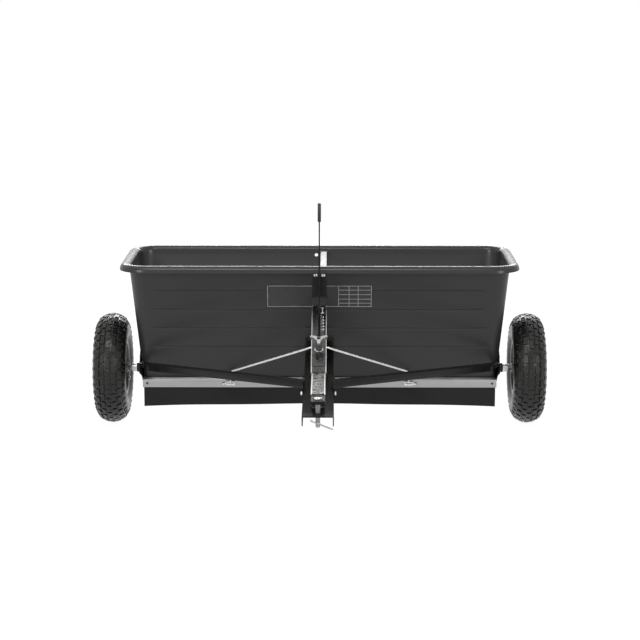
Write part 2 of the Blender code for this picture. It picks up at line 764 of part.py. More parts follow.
def add_stack(bm, rings, matrix):
    """Skins a stack of equal rings and caps both ends."""
    made = [[bm.verts.new(matrix @ p) for p in r] for r in rings]
    sides = len(made[0])
    for low, high in zip(made, made[1:]):
        for k in range(sides):
            nxt = (k + 1) % sides
            bm.faces.new((low[k], low[nxt], high[nxt], high[k]))
    bm.faces.new(made[0])
    bm.faces.new(made[-1])


def placed(at, axis):
    return Matrix.Translation(at) @ turn_to(axis).to_4x4()


def add_bolt(bm, at, axis, radius, grip, domed=False, nut=True):
    """The head's underside is at the place given, and the nut's near face a grip further along the axis."""
    wide = radius * NUT_HALF_WIDTH
    end = grip + radius * THREAD_PAST_GRIP
    if domed:
        sides = 12
        brim = wide * 1.25
        head = [(wide * 0.68, -radius, False), (brim, -radius * 0.35, False), (brim, 0.0, False)]
    else:
        sides = 6
        head = [(wide * 0.96, -radius * BOLT_HEAD_HEIGHT, True), (wide, 0.0, True)]
    shank = [(radius, 0.0, False)]
    if nut:
        tall = radius * NUT_HEIGHT
        shank += [(radius, grip, False), (wide, grip, True), (wide, grip + tall, True)]
        shank.append((radius, grip + tall, False))
    shank.append((radius, end, False))
    rings = [ring(r, z, hexagon, sides) for r, z, hexagon in head + shank]
    add_stack(bm, rings, placed(at, axis))


def bolt(name, parent, radius, at, axis, grip, domed=False, nut=True):
    bm = bmesh.new()
    add_bolt(bm, at, axis, radius, grip, domed, nut)
    return add(name, mesh_from(bm, name), "zinc", parent)


def join_bolts(obj, radius, places):
    """Fastenings fused with the piece that they hold. Each place is (under the head, axis, grip)."""
    bm = bmesh.new()
    for at, axis, grip in places:
        add_bolt(bm, at, axis, radius, grip)
    return join(obj, add("bolts", mesh_from(bm, "bolts"), "zinc", obj.parent))


# Hopper

def side_run(start, end, inset_normal, groove):
    """Two points inside a straight side, pressed in by the groove's depth, which fades at the corners."""
    start, end = Vector(start), Vector(end)
    along = (end - start).normalized()
    inset = Vector(inset_normal) * groove
    return [start + along * GROOVE_FADE + inset, end - along * GROOVE_FADE + inset]


def hopper_ring(half_x, half_y, corner, z, groove=0.0):
    """A rounded rectangle, anticlockwise from the front right corner."""
    points = []
    corners = ((1, -1, -pi / 2), (1, 1, 0.0), (-1, 1, pi / 2), (-1, -1, pi))
    arcs = []
    for sx, sy, start in corners:
        cx, cy = sx * (half_x - corner), sy * (half_y - corner)
        arcs.append([
            Vector((cx + corner * cos(start + a * pi / 6), cy + corner * sin(start + a * pi / 6)))
            for a in range(4)
        ])
    inward = ((-1, 0), (0, -1), (1, 0), (0, 1))
    for k in range(4):
        points += arcs[k]
        points += side_run(arcs[k][-1], arcs[(k + 1) % 4][0], inward[k], groove)
    return [(p.x, p.y, z) for p in points]


def corner_at(z):
    share = (z - FOOT_Z) / (WALL_TOP_Z - FOOT_Z)
    return FOOT_CORNER_RADIUS + share * (TOP_CORNER_RADIUS - FOOT_CORNER_RADIUS)


def middle_ring(z, out=0.0, groove=0.0, height=None):
    """A ring on the middle of the wall's thickness, at the wall's width for one height."""
    half = HOPPER_WALL / 2
    place = z if height is None else height
    return hopper_ring(
        wall_half_x(z) - half + out, wall_half_y(z) - half + out, corner_at(z) + out, place, groove
    )


def hopper_rings():
    rings = [middle_ring(FOOT_Z + HOPPER_WALL / 4)]
    first = RIM_TOP_Z - GROOVE_FIRST_BELOW_RIM
    for k in reversed(range(GROOVE_COUNT)):
        z = first - k * GROOVE_PITCH
        rings.append(middle_ring(z - GROOVE_HALF_HEIGHT))
        rings.append(middle_ring(z, groove=GROOVE_DEPTH))
        rings.append(middle_ring(z + GROOVE_HALF_HEIGHT))
    rings.append(middle_ring(WALL_TOP_Z))
    crown = RIM_TOP_Z - HOPPER_WALL / 2
    for out, down in ((0.06, 0.36), (0.30, 0.04), (0.62, 0.02), (0.90, 0.30), (1.0, 0.95)):
        rings.append(middle_ring(WALL_TOP_Z, out * RIM_REACH, 0.0, crown - down * RIM_DROP))
    return rings


def make_hopper(parent, end_frames, seat_spots):
    bm = bmesh.new()
    rings = [[bm.verts.new(p) for p in r] for r in hopper_rings()]
    count = len(rings[0])
    for low, high in zip(rings, rings[1:]):
        for k in range(count):
            nxt = (k + 1) % count
            bm.faces.new((low[k], low[nxt], high[nxt], high[k]))
    hopper = add("hopper", mesh_from(bm, "hopper"), "hopper_plastic", parent)
    shell = hopper.modifiers.new("wall", "SOLIDIFY")
    shell.thickness = HOPPER_WALL
    shell.offset = 0.0
    shell.use_even_offset = True
    cut(hopper, [hole((0, 0, AXLE_Z), (1, 0, 0), END_HOLE_RADIUS, 4 * HOPPER_TOP_HALF_X, 16)], parent)
    for seat, spots in seat_spots.items():
        cut(hopper, spots, seat)
    bolt_z = RIM_TOP_Z - BRACKET_BOLT_BELOW_RIM
    rear_hole_xs = (BRACKET_BOLT_X, -BRACKET_BOLT_X)
    rear_radii = (BOLT_M6 + GAP, SPARE_HOLE_RADIUS)
    rear = [
        hole(on_wall(x, bolt_z, 0, False), wall_axis(False), radius, 6 * HOPPER_WALL)
        for x, radius in zip(rear_hole_xs, rear_radii)
    ]
    cut(hopper, rear, parent)
    for frame in end_frames.values():
        ends = [hole((0, y, z), (1, 0, 0), BOLT_M6 + GAP, 6 * HOPPER_WALL) for y, z in end_bolt_places()]
        cut(hopper, ends, frame)
    return smooth(hopper)


def end_bolt_places():
    low = END_BOLT_ABOVE_FOOT - HOPPER_FOOT_BELOW_AXLE
    return [
        (y, z) for z in (low, END_BOLT_ABOVE_AXLE) for y in (-END_BOLT_HALF_Y, END_BOLT_HALF_Y)
    ]



def wall_axis(front):
    """The unit vector that points into the hopper, square to its front (or rear) wall."""
    y = cos(FRONT_TILT) if front else -cos(FRONT_TILT)
    return Vector((0.0, y, sin(FRONT_TILT)))


def on_wall(x, z, out, front=True):
    """A point off the outer face of the front or rear wall at a height, out along its normal."""
    y = -wall_half_y(z) if front else wall_half_y(z)
    return Vector((x, y, z)) - wall_axis(front) * out


# End plates, brackets for the axle and the braces

def make_end_plate(side, frame, root):
    label = side_name(side)
    low = -END_PLATE_BELOW_AXLE
    high = END_PLATE_ABOVE_AXLE
    half = END_PLATE_HALF_Y
    outline = [
        (-half, low), (half, low), (half + END_PLATE_SWELL, 0.4 * high),
        (half * 0.85, high), (-half * 0.85, high), (EAR_REAR_Y, EAR_TOP), (END_PLATE_EAR_Y, EAR_TOP),
        (END_PLATE_EAR_Y, EAR_TOP - EAR_FRONT_HEIGHT), (-half - EAR_FOOT_SLANT, low + EAR_FOOT_RISE),
    ]
    centre = side * (GAP + END_PLATE / 2)
    end_plate = plate(
        f"end_plate_{label}", outline, END_PLATE, "black_paint", frame, "YZ", (centre, 0, 0)
    )
    end_plate = to_mesh_object(end_plate)
    tab_x = centre - side * EAR_TAB_LENGTH / 2
    bm = bmesh.new()
    tab_y = END_PLATE_EAR_Y + EAR_TAB_WIDTH / 2 + 0.0005
    bmesh.ops.create_cube(bm, size=1.0, matrix=Matrix.Translation(
        (tab_x, tab_y, EAR_TOP - END_PLATE / 2 - 0.0004)
    ) @ Matrix.Diagonal((EAR_TAB_LENGTH + 0.001, EAR_TAB_WIDTH, END_PLATE, 1.0)))
    tab = add("ear_tab", mesh_from(bm, "ear_tab"), "black_paint", frame)
    join(end_plate, tab)
    bore = [
        hole((side * HOPPER_FOOT_HALF_X, 0, AXLE_Z), (1, 0, 0), END_HOLE_RADIUS, 0.1, 16),
        hole(brace_end_bolt(side), (0, 0, 1), BOLT_M6 + GAP, 0.03),
    ]
    cut(end_plate, bore, root)
    head = side * (GAP + END_PLATE - FUSE)
    grip = END_PLATE - FUSE + HOPPER_WALL + SHEET + 3 * GAP
    places = [((head, y, z), (-side, 0, 0), grip) for y, z in end_bolt_places()]
    join_bolts(end_plate, BOLT_M6, places)


def brace_end_bolt(side):
    x = side * (BRACE_OUTER_X - BRACE_END_BOLT_IN)
    return Vector((x, BRACE_OUTER_Y, AXLE_Z + BRACE_OUTER_ABOVE_AXLE))


# Metering pan, shut-off plate, strip and skirt

def drop_holes(y, tall, z):
    turn = Matrix.Rotation(pi / 4, 3, "Z")
    first = -(DROP_HOLE_COUNT - 1) / 2
    side = 2 * DROP_HOLE_HALF
    return [
        block(((first + k) * DROP_HOLE_PITCH, y, z), (side, side, tall), turn) for k in range(DROP_HOLE_COUNT)
    ]


def guide_bolt_places():
    """Inner pair ahead of the drop holes, outer pair behind them, each between two holes."""
    outer = DROP_HOLE_COUNT // 2 - 2
    return [
        (side * DROP_HOLE_PITCH * n, y)
        for side in (-1, 1)
        for n, y in ((2, -GUIDE_BOLT_Y), (outer, GUIDE_BOLT_Y))
    ]


def inner_half_y(z):
    return wall_half_y(z) - HOPPER_WALL / cos(FRONT_TILT) - 2 * GAP


def make_pan(parent, end_frames):
    top = FOOT_Z + PAN_SIDE_RISE
    flange = top + PAN_FLANGE
    path = [
        (-inner_half_y(flange), flange), (-inner_half_y(top), top), (-PAN_FLOOR_HALF, FOOT_Z),
        (PAN_FLOOR_HALF, FOOT_Z), (inner_half_y(top), top), (inner_half_y(flange), flange),
    ]
    floor_half_x = HOPPER_FOOT_HALF_X - HOPPER_WALL - PAN_END_PLAY
    pan = plate(
        "metering_pan", wall_outline(path, SHEET), 2 * floor_half_x, "galvanised", parent, "YZ"
    )
    pan = to_mesh_object(pan)
    notch = (2 * PAN_CORNER_NOTCH, HOPPER_FOOT_HALF_Y, 2 * PAN_END_RISE)
    notch_y = PAN_FLOOR_HALF + PAN_CORNER_CLEARANCE + HOPPER_FOOT_HALF_Y / 2
    corners = [
        block((sx * floor_half_x, sy * notch_y, FOOT_Z), notch) for sx in (-1, 1) for sy in (-1, 1)
    ]
    cut(pan, corners, parent)
    low = -HOPPER_FOOT_BELOW_AXLE + GAP
    high = PAN_END_RISE - HOPPER_FOOT_BELOW_AXLE
    for side, frame in end_frames.items():
        wide = PAN_END_HALF_Y + PAN_END_FLARE
        outline = [(-PAN_END_HALF_Y, low), (PAN_END_HALF_Y, low), (wide, high), (-wide, high)]
        end = plate(
            "pan_end", outline, SHEET, "galvanised", frame, "YZ",
            (-side * (HOPPER_WALL + GAP + SHEET / 2), 0, 0),
        )
        end = to_mesh_object(end)
        join(pan, end)
        spots = [hole((0, y, z), (1, 0, 0), BOLT_M6 + GAP, 0.03) for y, z in end_bolt_places()]
        cut(pan, spots, frame)
    cut(pan, [hole((0, 0, AXLE_Z), (1, 0, 0), END_HOLE_RADIUS, 2.2 * HOPPER_TOP_HALF_X, 16)], parent)
    cut(pan, drop_holes(-PLATE_TRAVEL / 2, 0.02, FOOT_Z), parent)
    top = FOOT_Z + SHEET - FUSE
    drop = 2 * SHEET + 2 * GAP - FUSE
    join_bolts(pan, BOLT_M6, [((x, y, top), (0, 0, -1), drop) for x, y in guide_bolt_places()])


def make_shutoff(parent):
    top = FOOT_Z - GAP
    flange_y = STRIP_FRONT_Y + SHEET + 2 * GAP + SKIRT_THICKNESS
    path = [(PLATE_REAR_REACH, top), (flange_y + SHEET, top), (flange_y + SHEET, top + STRIP_RISE - 0.001)]
    shut = plate("shutoff_plate", wall_outline(path, SHEET), 2 * STRIP_HALF_X, "galvanised", parent, "YZ")
    shut = to_mesh_object(shut)
    cut(shut, drop_holes(PLATE_TRAVEL / 2, 0.02, FOOT_Z), parent)
    slot_half = PLATE_TRAVEL / 2 + BOLT_M6 + 0.001
    slots = [
        block((x, y + PLATE_TRAVEL / 2, FOOT_Z), (2 * BOLT_M6 + 0.001, 2 * slot_half, 0.02))
        for x, y in guide_bolt_places()
    ]
    cut(shut, slots, parent)
    rivet_holes = [
        hole((x, STRIP_FRONT_Y, RIVET_Z), (0, 1, 0), RIVET_RADIUS + GAP, 0.03, 6) for x in SKIRT_RIVET_XS
    ]
    tab_holes = [
        hole((x, STRIP_FRONT_Y, RIVET_Z), (0, 1, 0), RIVET_RADIUS + GAP, 0.03, 6) for x in tab_rivet_xs()
    ]
    cut(shut, rivet_holes + tab_holes, parent)

    back = STRIP_FRONT_Y + SHEET
    low = top - SHEET - STRIP_BELOW_PLATE
    path = [(back, low), (back, top + STRIP_RISE), (back + STRIP_LIP, top + STRIP_RISE + 0.9 * STRIP_LIP)]
    strip = plate("skirt_strip", wall_outline(path, SHEET), 2 * STRIP_HALF_X, "galvanised", parent, "YZ")
    strip = to_mesh_object(strip)
    cut(strip, tab_holes, parent)
    make_skirt(parent, back + GAP + SKIRT_THICKNESS / 2, top + STRIP_RISE - 0.002, rivet_holes + tab_holes)
    grip = 2 * SHEET + SKIRT_THICKNESS + 3 * GAP + FUSE
    join_rivets(strip, [(x, STRIP_FRONT_Y + FUSE, RIVET_Z) for x in SKIRT_RIVET_XS], grip - 2 * FUSE)
    for side in (-1, 1):
        make_rod_tab(side, parent, top + STRIP_RISE - 0.0005, grip)


def tab_rivet_xs():
    return [side * ROD_END_X + d for side in (-1, 1) for d in (-0.008, 0.008)]


def join_rivets(obj, heads, grip):
    """Rivets along +Y, fused with the piece under their heads, each with a second head at its far end."""
    bm = bmesh.new()
    wide = RIVET_RADIUS * 2
    tall = RIVET_RADIUS * 0.8
    for at in heads:
        rings = [
            ring(wide * 0.6, -tall), ring(wide, 0.0), ring(RIVET_RADIUS, 0.0),
            ring(RIVET_RADIUS, grip), ring(wide * 0.9, grip), ring(wide * 0.6, grip + tall),
        ]
        add_stack(bm, rings, placed(at, (0, 1, 0)))
    return join(obj, add("rivets", mesh_from(bm, "rivets"), "zinc", obj.parent))


def skirt_point(across, down, y, top):
    """The flap hangs from its strip and bows back and up a little towards the middle."""
    x = (across * 2 - 1) * SKIRT_HALF_X
    middle = 1 - (across * 2 - 1) ** 2
    wave = SKIRT_WAVE * (middle * 2 + 0.25 * sin(5 * pi * across))
    bottom = SKIRT_BOTTOM_Z + wave
    free = max(0.0, down - 0.28)
    return (x, y + SKIRT_BOW * middle * free * free, top + (bottom - top) * down)


def make_skirt(parent, y, top, holes):
    columns, rows = 13, 4
    bm = bmesh.new()
    grid = [
        [bm.verts.new(skirt_point(c / (columns - 1), r / (rows - 1), y, top)) for c in range(columns)]
        for r in range(rows)
    ]
    for r in range(rows - 1):
        for c in range(columns - 1):
            bm.faces.new((grid[r][c], grid[r][c + 1], grid[r + 1][c + 1], grid[r + 1][c]))
    skirt = add("skirt", mesh_from(bm, "skirt"), "skirt_rubber", parent)
    sheet = skirt.modifiers.new("sheet", "SOLIDIFY")
    sheet.thickness = SKIRT_THICKNESS
    sheet.offset = 0.0
    cut(skirt, holes, parent)


def make_rod_tab(side, parent, top, grip):
    """A small angle riveted to the strip, with a hole for one end of the rod."""
    front = STRIP_FRONT_Y - GAP
    bottom = RIVET_Z - 0.006
    path = [(front, bottom), (front, top), (front - ROD_TAB_REACH, top)]
    tab = plate(
        f"rod_tab_{side_name(side)}", wall_outline(path, ROD_TAB), 2 * ROD_TAB_HALF_X,
        "zinc", parent, "YZ", (side * ROD_END_X, 0, 0),
    )
    tab = to_mesh_object(tab)
    cut(tab, [hole((side * ROD_END_X, ROD_END_Y, top), (0, 0, 1), ROD_RADIUS + 0.0005, 0.02)], parent)
    heads = [(x, front - ROD_TAB + FUSE, RIVET_Z) for x in tab_rivet_xs() if x * side > 0]
    join_rivets(tab, heads, grip + ROD_TAB)


def make_control_rod(parent):
    """One wire: over the tube through the lever, out and down to both ends of the strip."""
    top = FOOT_Z - GAP + STRIP_RISE - 0.0005
    bend = top + ROD_END_ABOVE_STRIP
    low = top - ROD_END_DROP
    half = [
        (ROD_CROSS_HALF_X, CROSS_Y, ROD_Z),
        (ROD_END_X - 0.010, ROD_END_Y - 0.0035, bend + 0.003),
        (ROD_END_X - 0.002, ROD_END_Y - 0.0006, bend - 0.001),
        (ROD_END_X, ROD_END_Y, bend - 0.009),
        (ROD_END_X, ROD_END_Y, low),
    ]
    inner = [(ROD_CROSS_HALF_X - 0.006, CROSS_Y - 0.0005, ROD_Z)]
    right = inner + half
    curve = wire_curve("control_rod", ROD_RADIUS, 2)
    add_wire(curve, [(-x, y, z) for x, y, z in reversed(right)] + right)
    line = to_mesh_object(add("control_rod", curve, "zinc", parent))
    pin_z = top - ROD_TAB - 0.0058
    ends = [(side, (side * ROD_END_X, ROD_END_Y, pin_z)) for side in (-1, 1)]
    cut(line, [hairpin_hole(at, (side, 0, 0), ROD_RADIUS) for side, at in ends], parent)
    smooth(line, 50)
    for side in (-1, 1):
        hairpin(
            f"rod_hairpin_{side_name(side)}", ROD_RADIUS, parent, (side * ROD_END_X, ROD_END_Y, pin_z),
            frame_of((side, 0, 0), (0, -1, 0)),
        )


# Agitator and axle

def make_axle(parent):
    half = WHEEL_X + HUB_WIDTH / 2 + AXLE_END_REACH
    chamfer = 0.001
    profile = [
        (0.0, half), (AXLE_RADIUS - chamfer, half), (AXLE_RADIUS, half - chamfer),
        (AXLE_RADIUS, chamfer - half), (AXLE_RADIUS - chamfer, -half), (0.0, -half),
    ]
    axle = turned("axle", profile, "steel", parent, steps=12, rotation=ALONG_X)
    spots = []
    for side in (-1, 1):
        leg = axle_hairpin_leg(side)
        spots.append(hairpin_hole((side * INNER_HAIRPIN_X, 0, 0), leg, AXLE_RADIUS))
        spots.append(hairpin_hole((side * OUTER_HAIRPIN_X, 0, 0), (0, 0, 1), AXLE_RADIUS))
    spots.append(drive_pin_hole(-WHEEL_X - DRIVE_PIN_OUT))
    cut(axle, spots, parent)
    paddles = bmesh.new()
    for k in range(PADDLE_COUNT):
        x = (k - (PADDLE_COUNT - 1) / 2) * PADDLE_PITCH
        turn = Matrix.Rotation(radians(90.0 * (k % 2) + 45.0), 4, "X")
        add_paddle(paddles, Matrix.Translation((x, 0, 0)) @ turn)
    join(axle, add("paddles", mesh_from(paddles, "paddles"), "steel", parent))
    bore = AXLE_RADIUS + RUNNING_GAP
    edge = SPACER_EDGE
    spacer = [
        (SPACER_RADIUS - edge, SPACER_LENGTH), (SPACER_RADIUS, SPACER_LENGTH - edge),
        (SPACER_RADIUS, edge), (SPACER_RADIUS - edge, 0.0), (bore, 0.0), (bore, SPACER_LENGTH),
    ]
    washer = [(HUB_RADIUS, WASHER), (HUB_RADIUS, 0.0), (bore, 0.0), (bore, WASHER)]
    for side in (-1, 1):
        label = side_name(side)
        along = ALONG_X if side > 0 else ALONG_MINUS_X
        at = (side * SPACER_X, 0, 0)
        turned(f"axle_spacer_{label}", spacer, "zinc", parent, True, 14, at, along)
        at = (side * (HUB_OUTER_X + GAP), 0, 0)
        turned(f"end_washer_{label}", washer, "zinc", parent, True, 14, at, along)
        leg = Vector(axle_hairpin_leg(side)).normalized()
        across = leg.cross(Vector((1, 0, 0))).normalized()
        bow = across * cos(HAIRPIN_TWIST) - Vector((side, 0, 0)) * sin(HAIRPIN_TWIST)
        at = (side * INNER_HAIRPIN_X, 0, 0)
        hairpin(f"axle_hairpin_{label}", AXLE_RADIUS / cos(HAIRPIN_TWIST), parent, at, frame_of(leg, bow))
        at = (side * OUTER_HAIRPIN_X, 0, 0)
        hairpin(f"end_hairpin_{label}", AXLE_RADIUS, parent, at, frame_of((0, 0, 1), (0, 1, 0)))


def axle_hairpin_leg(side):
    return (0.0, -0.45, -0.89) if side < 0 else (0.0, -0.94, 0.34)


def drive_pin_hole(x):
    return hole((x, 0, 0), (0, 0, 1), DRIVE_PIN_RADIUS + GAP, 4 * HUB_RADIUS)


def make_drive_pin(parent):
    """It locks the left hub to the axle, so that this wheel turns the agitator."""
    reach = HUB_RADIUS + DRIVE_PIN_RADIUS
    profile = [(0.0, reach), (DRIVE_PIN_RADIUS, reach), (DRIVE_PIN_RADIUS, -reach), (0.0, -reach)]
    turned("drive_pin", profile, "steel", parent, steps=12, at=(-WHEEL_X - DRIVE_PIN_OUT, 0, 0))


def add_paddle(bm, matrix):
    """A stamped plate pressed on the axle, in the YZ plane: wide round the axle, with a finger each way."""
    corner = ((PADDLE_RADIUS, PADDLE_HALF_WIDTH), (PADDLE_HALF_WIDTH * 1.5, PADDLE_RING_RADIUS))
    outline = [(y, z) for y, z in corner]
    outline += [(-y, z) for y, z in reversed(corner)]
    outline += [(-y, -z) for y, z in corner]
    outline += [(y, -z) for y, z in reversed(corner)]
    half = PADDLE_THICKNESS / 2
    near, far = [[bm.verts.new(matrix @ Vector((x, y, z))) for y, z in outline] for x in (-half, half)]
    sides = len(outline)
    for k in range(sides):
        nxt = (k + 1) % sides
        bm.faces.new((near[k], near[nxt], far[nxt], far[k]))
    bm.faces.new(near)
    bm.faces.new(far)


def make_axle_bearings(parent):
    """Black flanged bearings in the two ends of the hopper, each with a boss that reaches the spacer."""
    barrel = END_PLATE + HOPPER_WALL + SHEET + 0.004
    profile = bush_profile(
        barrel, AXLE_RADIUS + BUSH_WALL, BUSH_FLANGE_RADIUS, BUSH_FLANGE, BUSH_BOSS_RADIUS, BUSH_BOSS
    )
    for side in (-1, 1):
        along = ALONG_X if side > 0 else ALONG_MINUS_X
        at = (side * BUSH_FACE_X, 0, AXLE_Z)
        turned(f"axle_bearing_{side_name(side)}", profile, "grip_plastic", parent, True, 14, at, along)


# Drawbar

def split_across(obj, ys):
    """Divides long flat faces across Y, so that a flat seat is a face of its own."""
    bm = bmesh.new()
    bm.from_mesh(obj.data)
    back = obj.matrix_basis.inverted()
    for y in ys:
        bmesh.ops.bisect_plane(
            bm, geom=[*bm.verts, *bm.edges, *bm.faces], plane_co=back @ Vector((0, y, 0)),
            plane_no=back.to_3x3() @ Vector((0, 1, 0)), dist=0.00001,
        )
    bm.to_mesh(obj.data)
    bm.free()


def make_drawbar(parent):
    half = CHANNEL_WIDTH / 2
    middle = WEB_TOP_Z - CHANNEL_WALL / 2
    rear = -(wall_half_y(middle) + (GAP + CHANNEL_WALL / 2) / cos(FRONT_TILT))
    length = rear - CHANNEL_FRONT_Y
    low = WEB_TOP_Z - CHANNEL_DEPTH
    path = [(half, low), (half, WEB_TOP_Z), (-half, WEB_TOP_Z), (-half, low)]
    channel = plate(
        "drawbar_channel", wall_outline(path, CHANNEL_WALL), length, "black_paint", parent, "XZ",
        (0, CHANNEL_FRONT_Y + length / 2, 0),
    )
    channel = to_mesh_object(channel)
    split_across(channel, (TUBE_FRONT_Y - SEAT_MARGIN, HITCH_PIN_Y + HITCH_PIN_HEAD_RADIUS))
    seat = empty("drawbar_seat", on_wall(0, WEB_TOP_Z, 0), parent, (FRONT_TILT, 0, 0))
    wide = half - GAP
    outline = [(-wide, -0.004), (wide, -0.004), (wide, CHANNEL_TAB_RISE), (-wide, CHANNEL_TAB_RISE)]
    tab = plate(
        "channel_tab", outline, CHANNEL_WALL, "black_paint", seat, "XZ", (0, -GAP - CHANNEL_WALL / 2, 0)
    )
    tab = to_mesh_object(tab)
    join(channel, tab)
    tab_spots = [hole((s * TAB_BOLT_X, 0, TAB_BOLT_RISE), (0, 1, 0), BOLT_M6 + GAP, 0.03) for s in (-1, 1)]
    cut(channel, tab_spots, seat)
    side_spots = [
        hole((0, y, BRACE_BOLT_Z), (1, 0, 0), BOLT_M6 + GAP, CHANNEL_WIDTH + 0.02) for y in brace_bolt_ys()
    ]
    pin = hole((0, HITCH_PIN_Y, WEB_TOP_Z), (0, 0, 1), HITCH_PIN_RADIUS + RUNNING_GAP, 0.02, 16)
    down = [hole((0, y, WEB_TOP_Z), (0, 0, 1), BOLT_M8 + GAP, 0.1) for y in TUBE_BOLT_YS]
    cut(channel, [*side_spots, pin, *down], parent)

    grip = CHANNEL_WALL + HOPPER_WALL + 4 * GAP
    for side in (-1, 1):
        at = (side * TAB_BOLT_X, -2 * GAP - CHANNEL_WALL, TAB_BOLT_RISE)
        bolt(f"drawbar_bolt_{side_name(side)}", seat, BOLT_M6, at, (0, 1, 0), grip)
    return seat, tab_spots


def make_tube(parent):
    outer = TUBE_SIZE / 2
    inner = outer - TUBE_WALL
    rear = -(wall_half_y(TUBE_TOP_Z) + (CHANNEL_WALL + 3 * GAP) / cos(FRONT_TILT))
    length = rear - TUBE_FRONT_Y
    square = [(outer, outer), (-outer, outer), (-outer, -outer), (outer, -outer)]
    bore = [(inner, inner), (-inner, inner), (-inner, -inner), (inner, -inner)]
    middle_z = TUBE_TOP_Z - outer
    tube = plate(
        "tongue_tube", square, length, "galvanised", parent, "XZ",
        (0, TUBE_FRONT_Y + length / 2, middle_z), (bore,),
    )
    tube = to_mesh_object(tube)
    ahead = TUBE_SIZE / 2 * tan(radians(LEVER_SWING_DEG) - LEVER_LEAN) + 1.3 * LEVER_HALF_WIDTH
    behind = TUBE_SIZE / 2 * tan(LEVER_LEAN) + 1.2 * LEVER_HALF_WIDTH
    slot_centre = LEVER_PIVOT_Y + (behind - ahead) / 2
    spots = [
        block((0, slot_centre, TUBE_TOP_Z), (LEVER_THICKNESS + 0.002, ahead + behind, 3 * TUBE_WALL)),
        hole((0, LEVER_PIVOT_Y, LEVER_PIVOT_Z), (1, 0, 0), PIVOT_RADIUS + GAP, 0.06),
        hole((0, BRACKET_CROSS_BOLT_Y, CROSS_BOLT_Z), (1, 0, 0), BOLT_M6 + GAP, 0.06),
    ]
    spots += [hole((0, y, middle_z), (0, 0, 1), BOLT_M8 + GAP, 0.1) for y in TUBE_BOLT_YS]
    cut(tube, spots, parent)
    grip = TUBE_SIZE + CHANNEL_WALL + 3 * GAP
    for place, y in zip(("front", "rear"), TUBE_BOLT_YS):
        bolt(f"tube_bolt_{place}", parent, BOLT_M8, (0, y, TUBE_TOP_Z + GAP), (0, 0, -1), grip)
    at = (TUBE_SIZE / 2 + GAP, LEVER_PIVOT_Y, LEVER_PIVOT_Z)
    bolt("lever_pivot_bolt", parent, PIVOT_RADIUS, at, (-1, 0, 0), TUBE_SIZE + 2 * GAP)


def make_hitch(parent):
    top = TUBE_TOP_Z - TUBE_WALL - GAP
    half = HITCH_PLATE_HALF_X
    tongue = TUBE_SIZE / 2 - TUBE_WALL - GAP
    shoulder = TUBE_FRONT_Y - GAP
    outline = [
        (-tongue, TUBE_FRONT_Y + HITCH_PLATE_INSERT), (-tongue, shoulder), (-half, shoulder),
        (-half, HITCH_PLATE_FRONT_Y), (half, HITCH_PLATE_FRONT_Y), (half, shoulder),
        (tongue, shoulder), (tongue, TUBE_FRONT_Y + HITCH_PLATE_INSERT),
    ]
    bore = circle(0, HITCH_PIN_Y, HITCH_PIN_RADIUS + RUNNING_GAP, 16)
    hitch = plate(
        "hitch_plate", outline, HITCH_PLATE_THICKNESS, "black_paint", parent, "XY",
        (0, 0, top - HITCH_PLATE_THICKNESS / 2), (bore,),
    )
    hitch = to_mesh_object(hitch)
    split_across(hitch, (TUBE_FRONT_Y - SEAT_MARGIN, HITCH_PIN_Y + HITCH_PIN_HEAD_RADIUS))
    lip = bmesh.new()
    lip_size = (2 * half - 0.0004, 0.003, HITCH_PLATE_LIP)
    lip_centre = (0, HITCH_PLATE_FRONT_Y + 0.0017, top - HITCH_PLATE_LIP / 2 - 0.0002)
    bmesh.ops.create_cube(
        lip, size=1.0, matrix=Matrix.Translation(lip_centre) @ Matrix.Diagonal((*lip_size, 1.0))
    )
    join(hitch, add("hitch_lip", mesh_from(lip, "hitch_lip"), "black_paint", parent))

    r = HITCH_PIN_RADIUS
    head = HITCH_PIN_HEAD
    length = HITCH_PIN_LENGTH
    profile = [
        (0.0, head), (HITCH_PIN_HEAD_RADIUS - 0.001, head), (HITCH_PIN_HEAD_RADIUS, head - 0.001),
        (HITCH_PIN_HEAD_RADIUS, 0.0), (r, 0.0), (r, -length + 0.002), (r * 0.7, -length), (0.0, -length),
    ]
    at = (0, HITCH_PIN_Y, top + GAP)
    spin = empty("hitch_pin_axis", at, parent)
    pin = turned("hitch_pin", profile, "zinc", spin, steps=16)
    leg = (cos(HITCH_HAIRPIN_DROOP), 0.0, -sin(HITCH_HAIRPIN_DROOP))
    place = (0, 0, -length + 0.0085)
    cut(pin, [hairpin_hole(place, leg, r)], spin)
    hairpin("hitch_hairpin", r, spin, place, frame_of(leg, (0, -1, 0)))


# Flow bracket, scale, stop and lever

def along_slope(s, out=0.0):
    """A point on the bracket's sloping face, s metres up from its foot and out along its normal."""
    y = BRACKET_FOOT_Y + s * cos(BRACKET_SLOPE) - out * sin(BRACKET_SLOPE)
    z = BRACKET_FOOT_Z + s * sin(BRACKET_SLOPE) + out * cos(BRACKET_SLOPE)
    return (0.0, y, z)


def face_length():
    """Up to the middle of the plate that lies on the hopper's wall."""
    seat = (GAP + BRACKET_THICKNESS / 2) / cos(FRONT_TILT)
    reach = -BRACKET_FOOT_Y - wall_half_y(BRACKET_FOOT_Z) - seat
    return reach / (cos(BRACKET_SLOPE) + WALL_SLOPE_Y * sin(BRACKET_SLOPE))


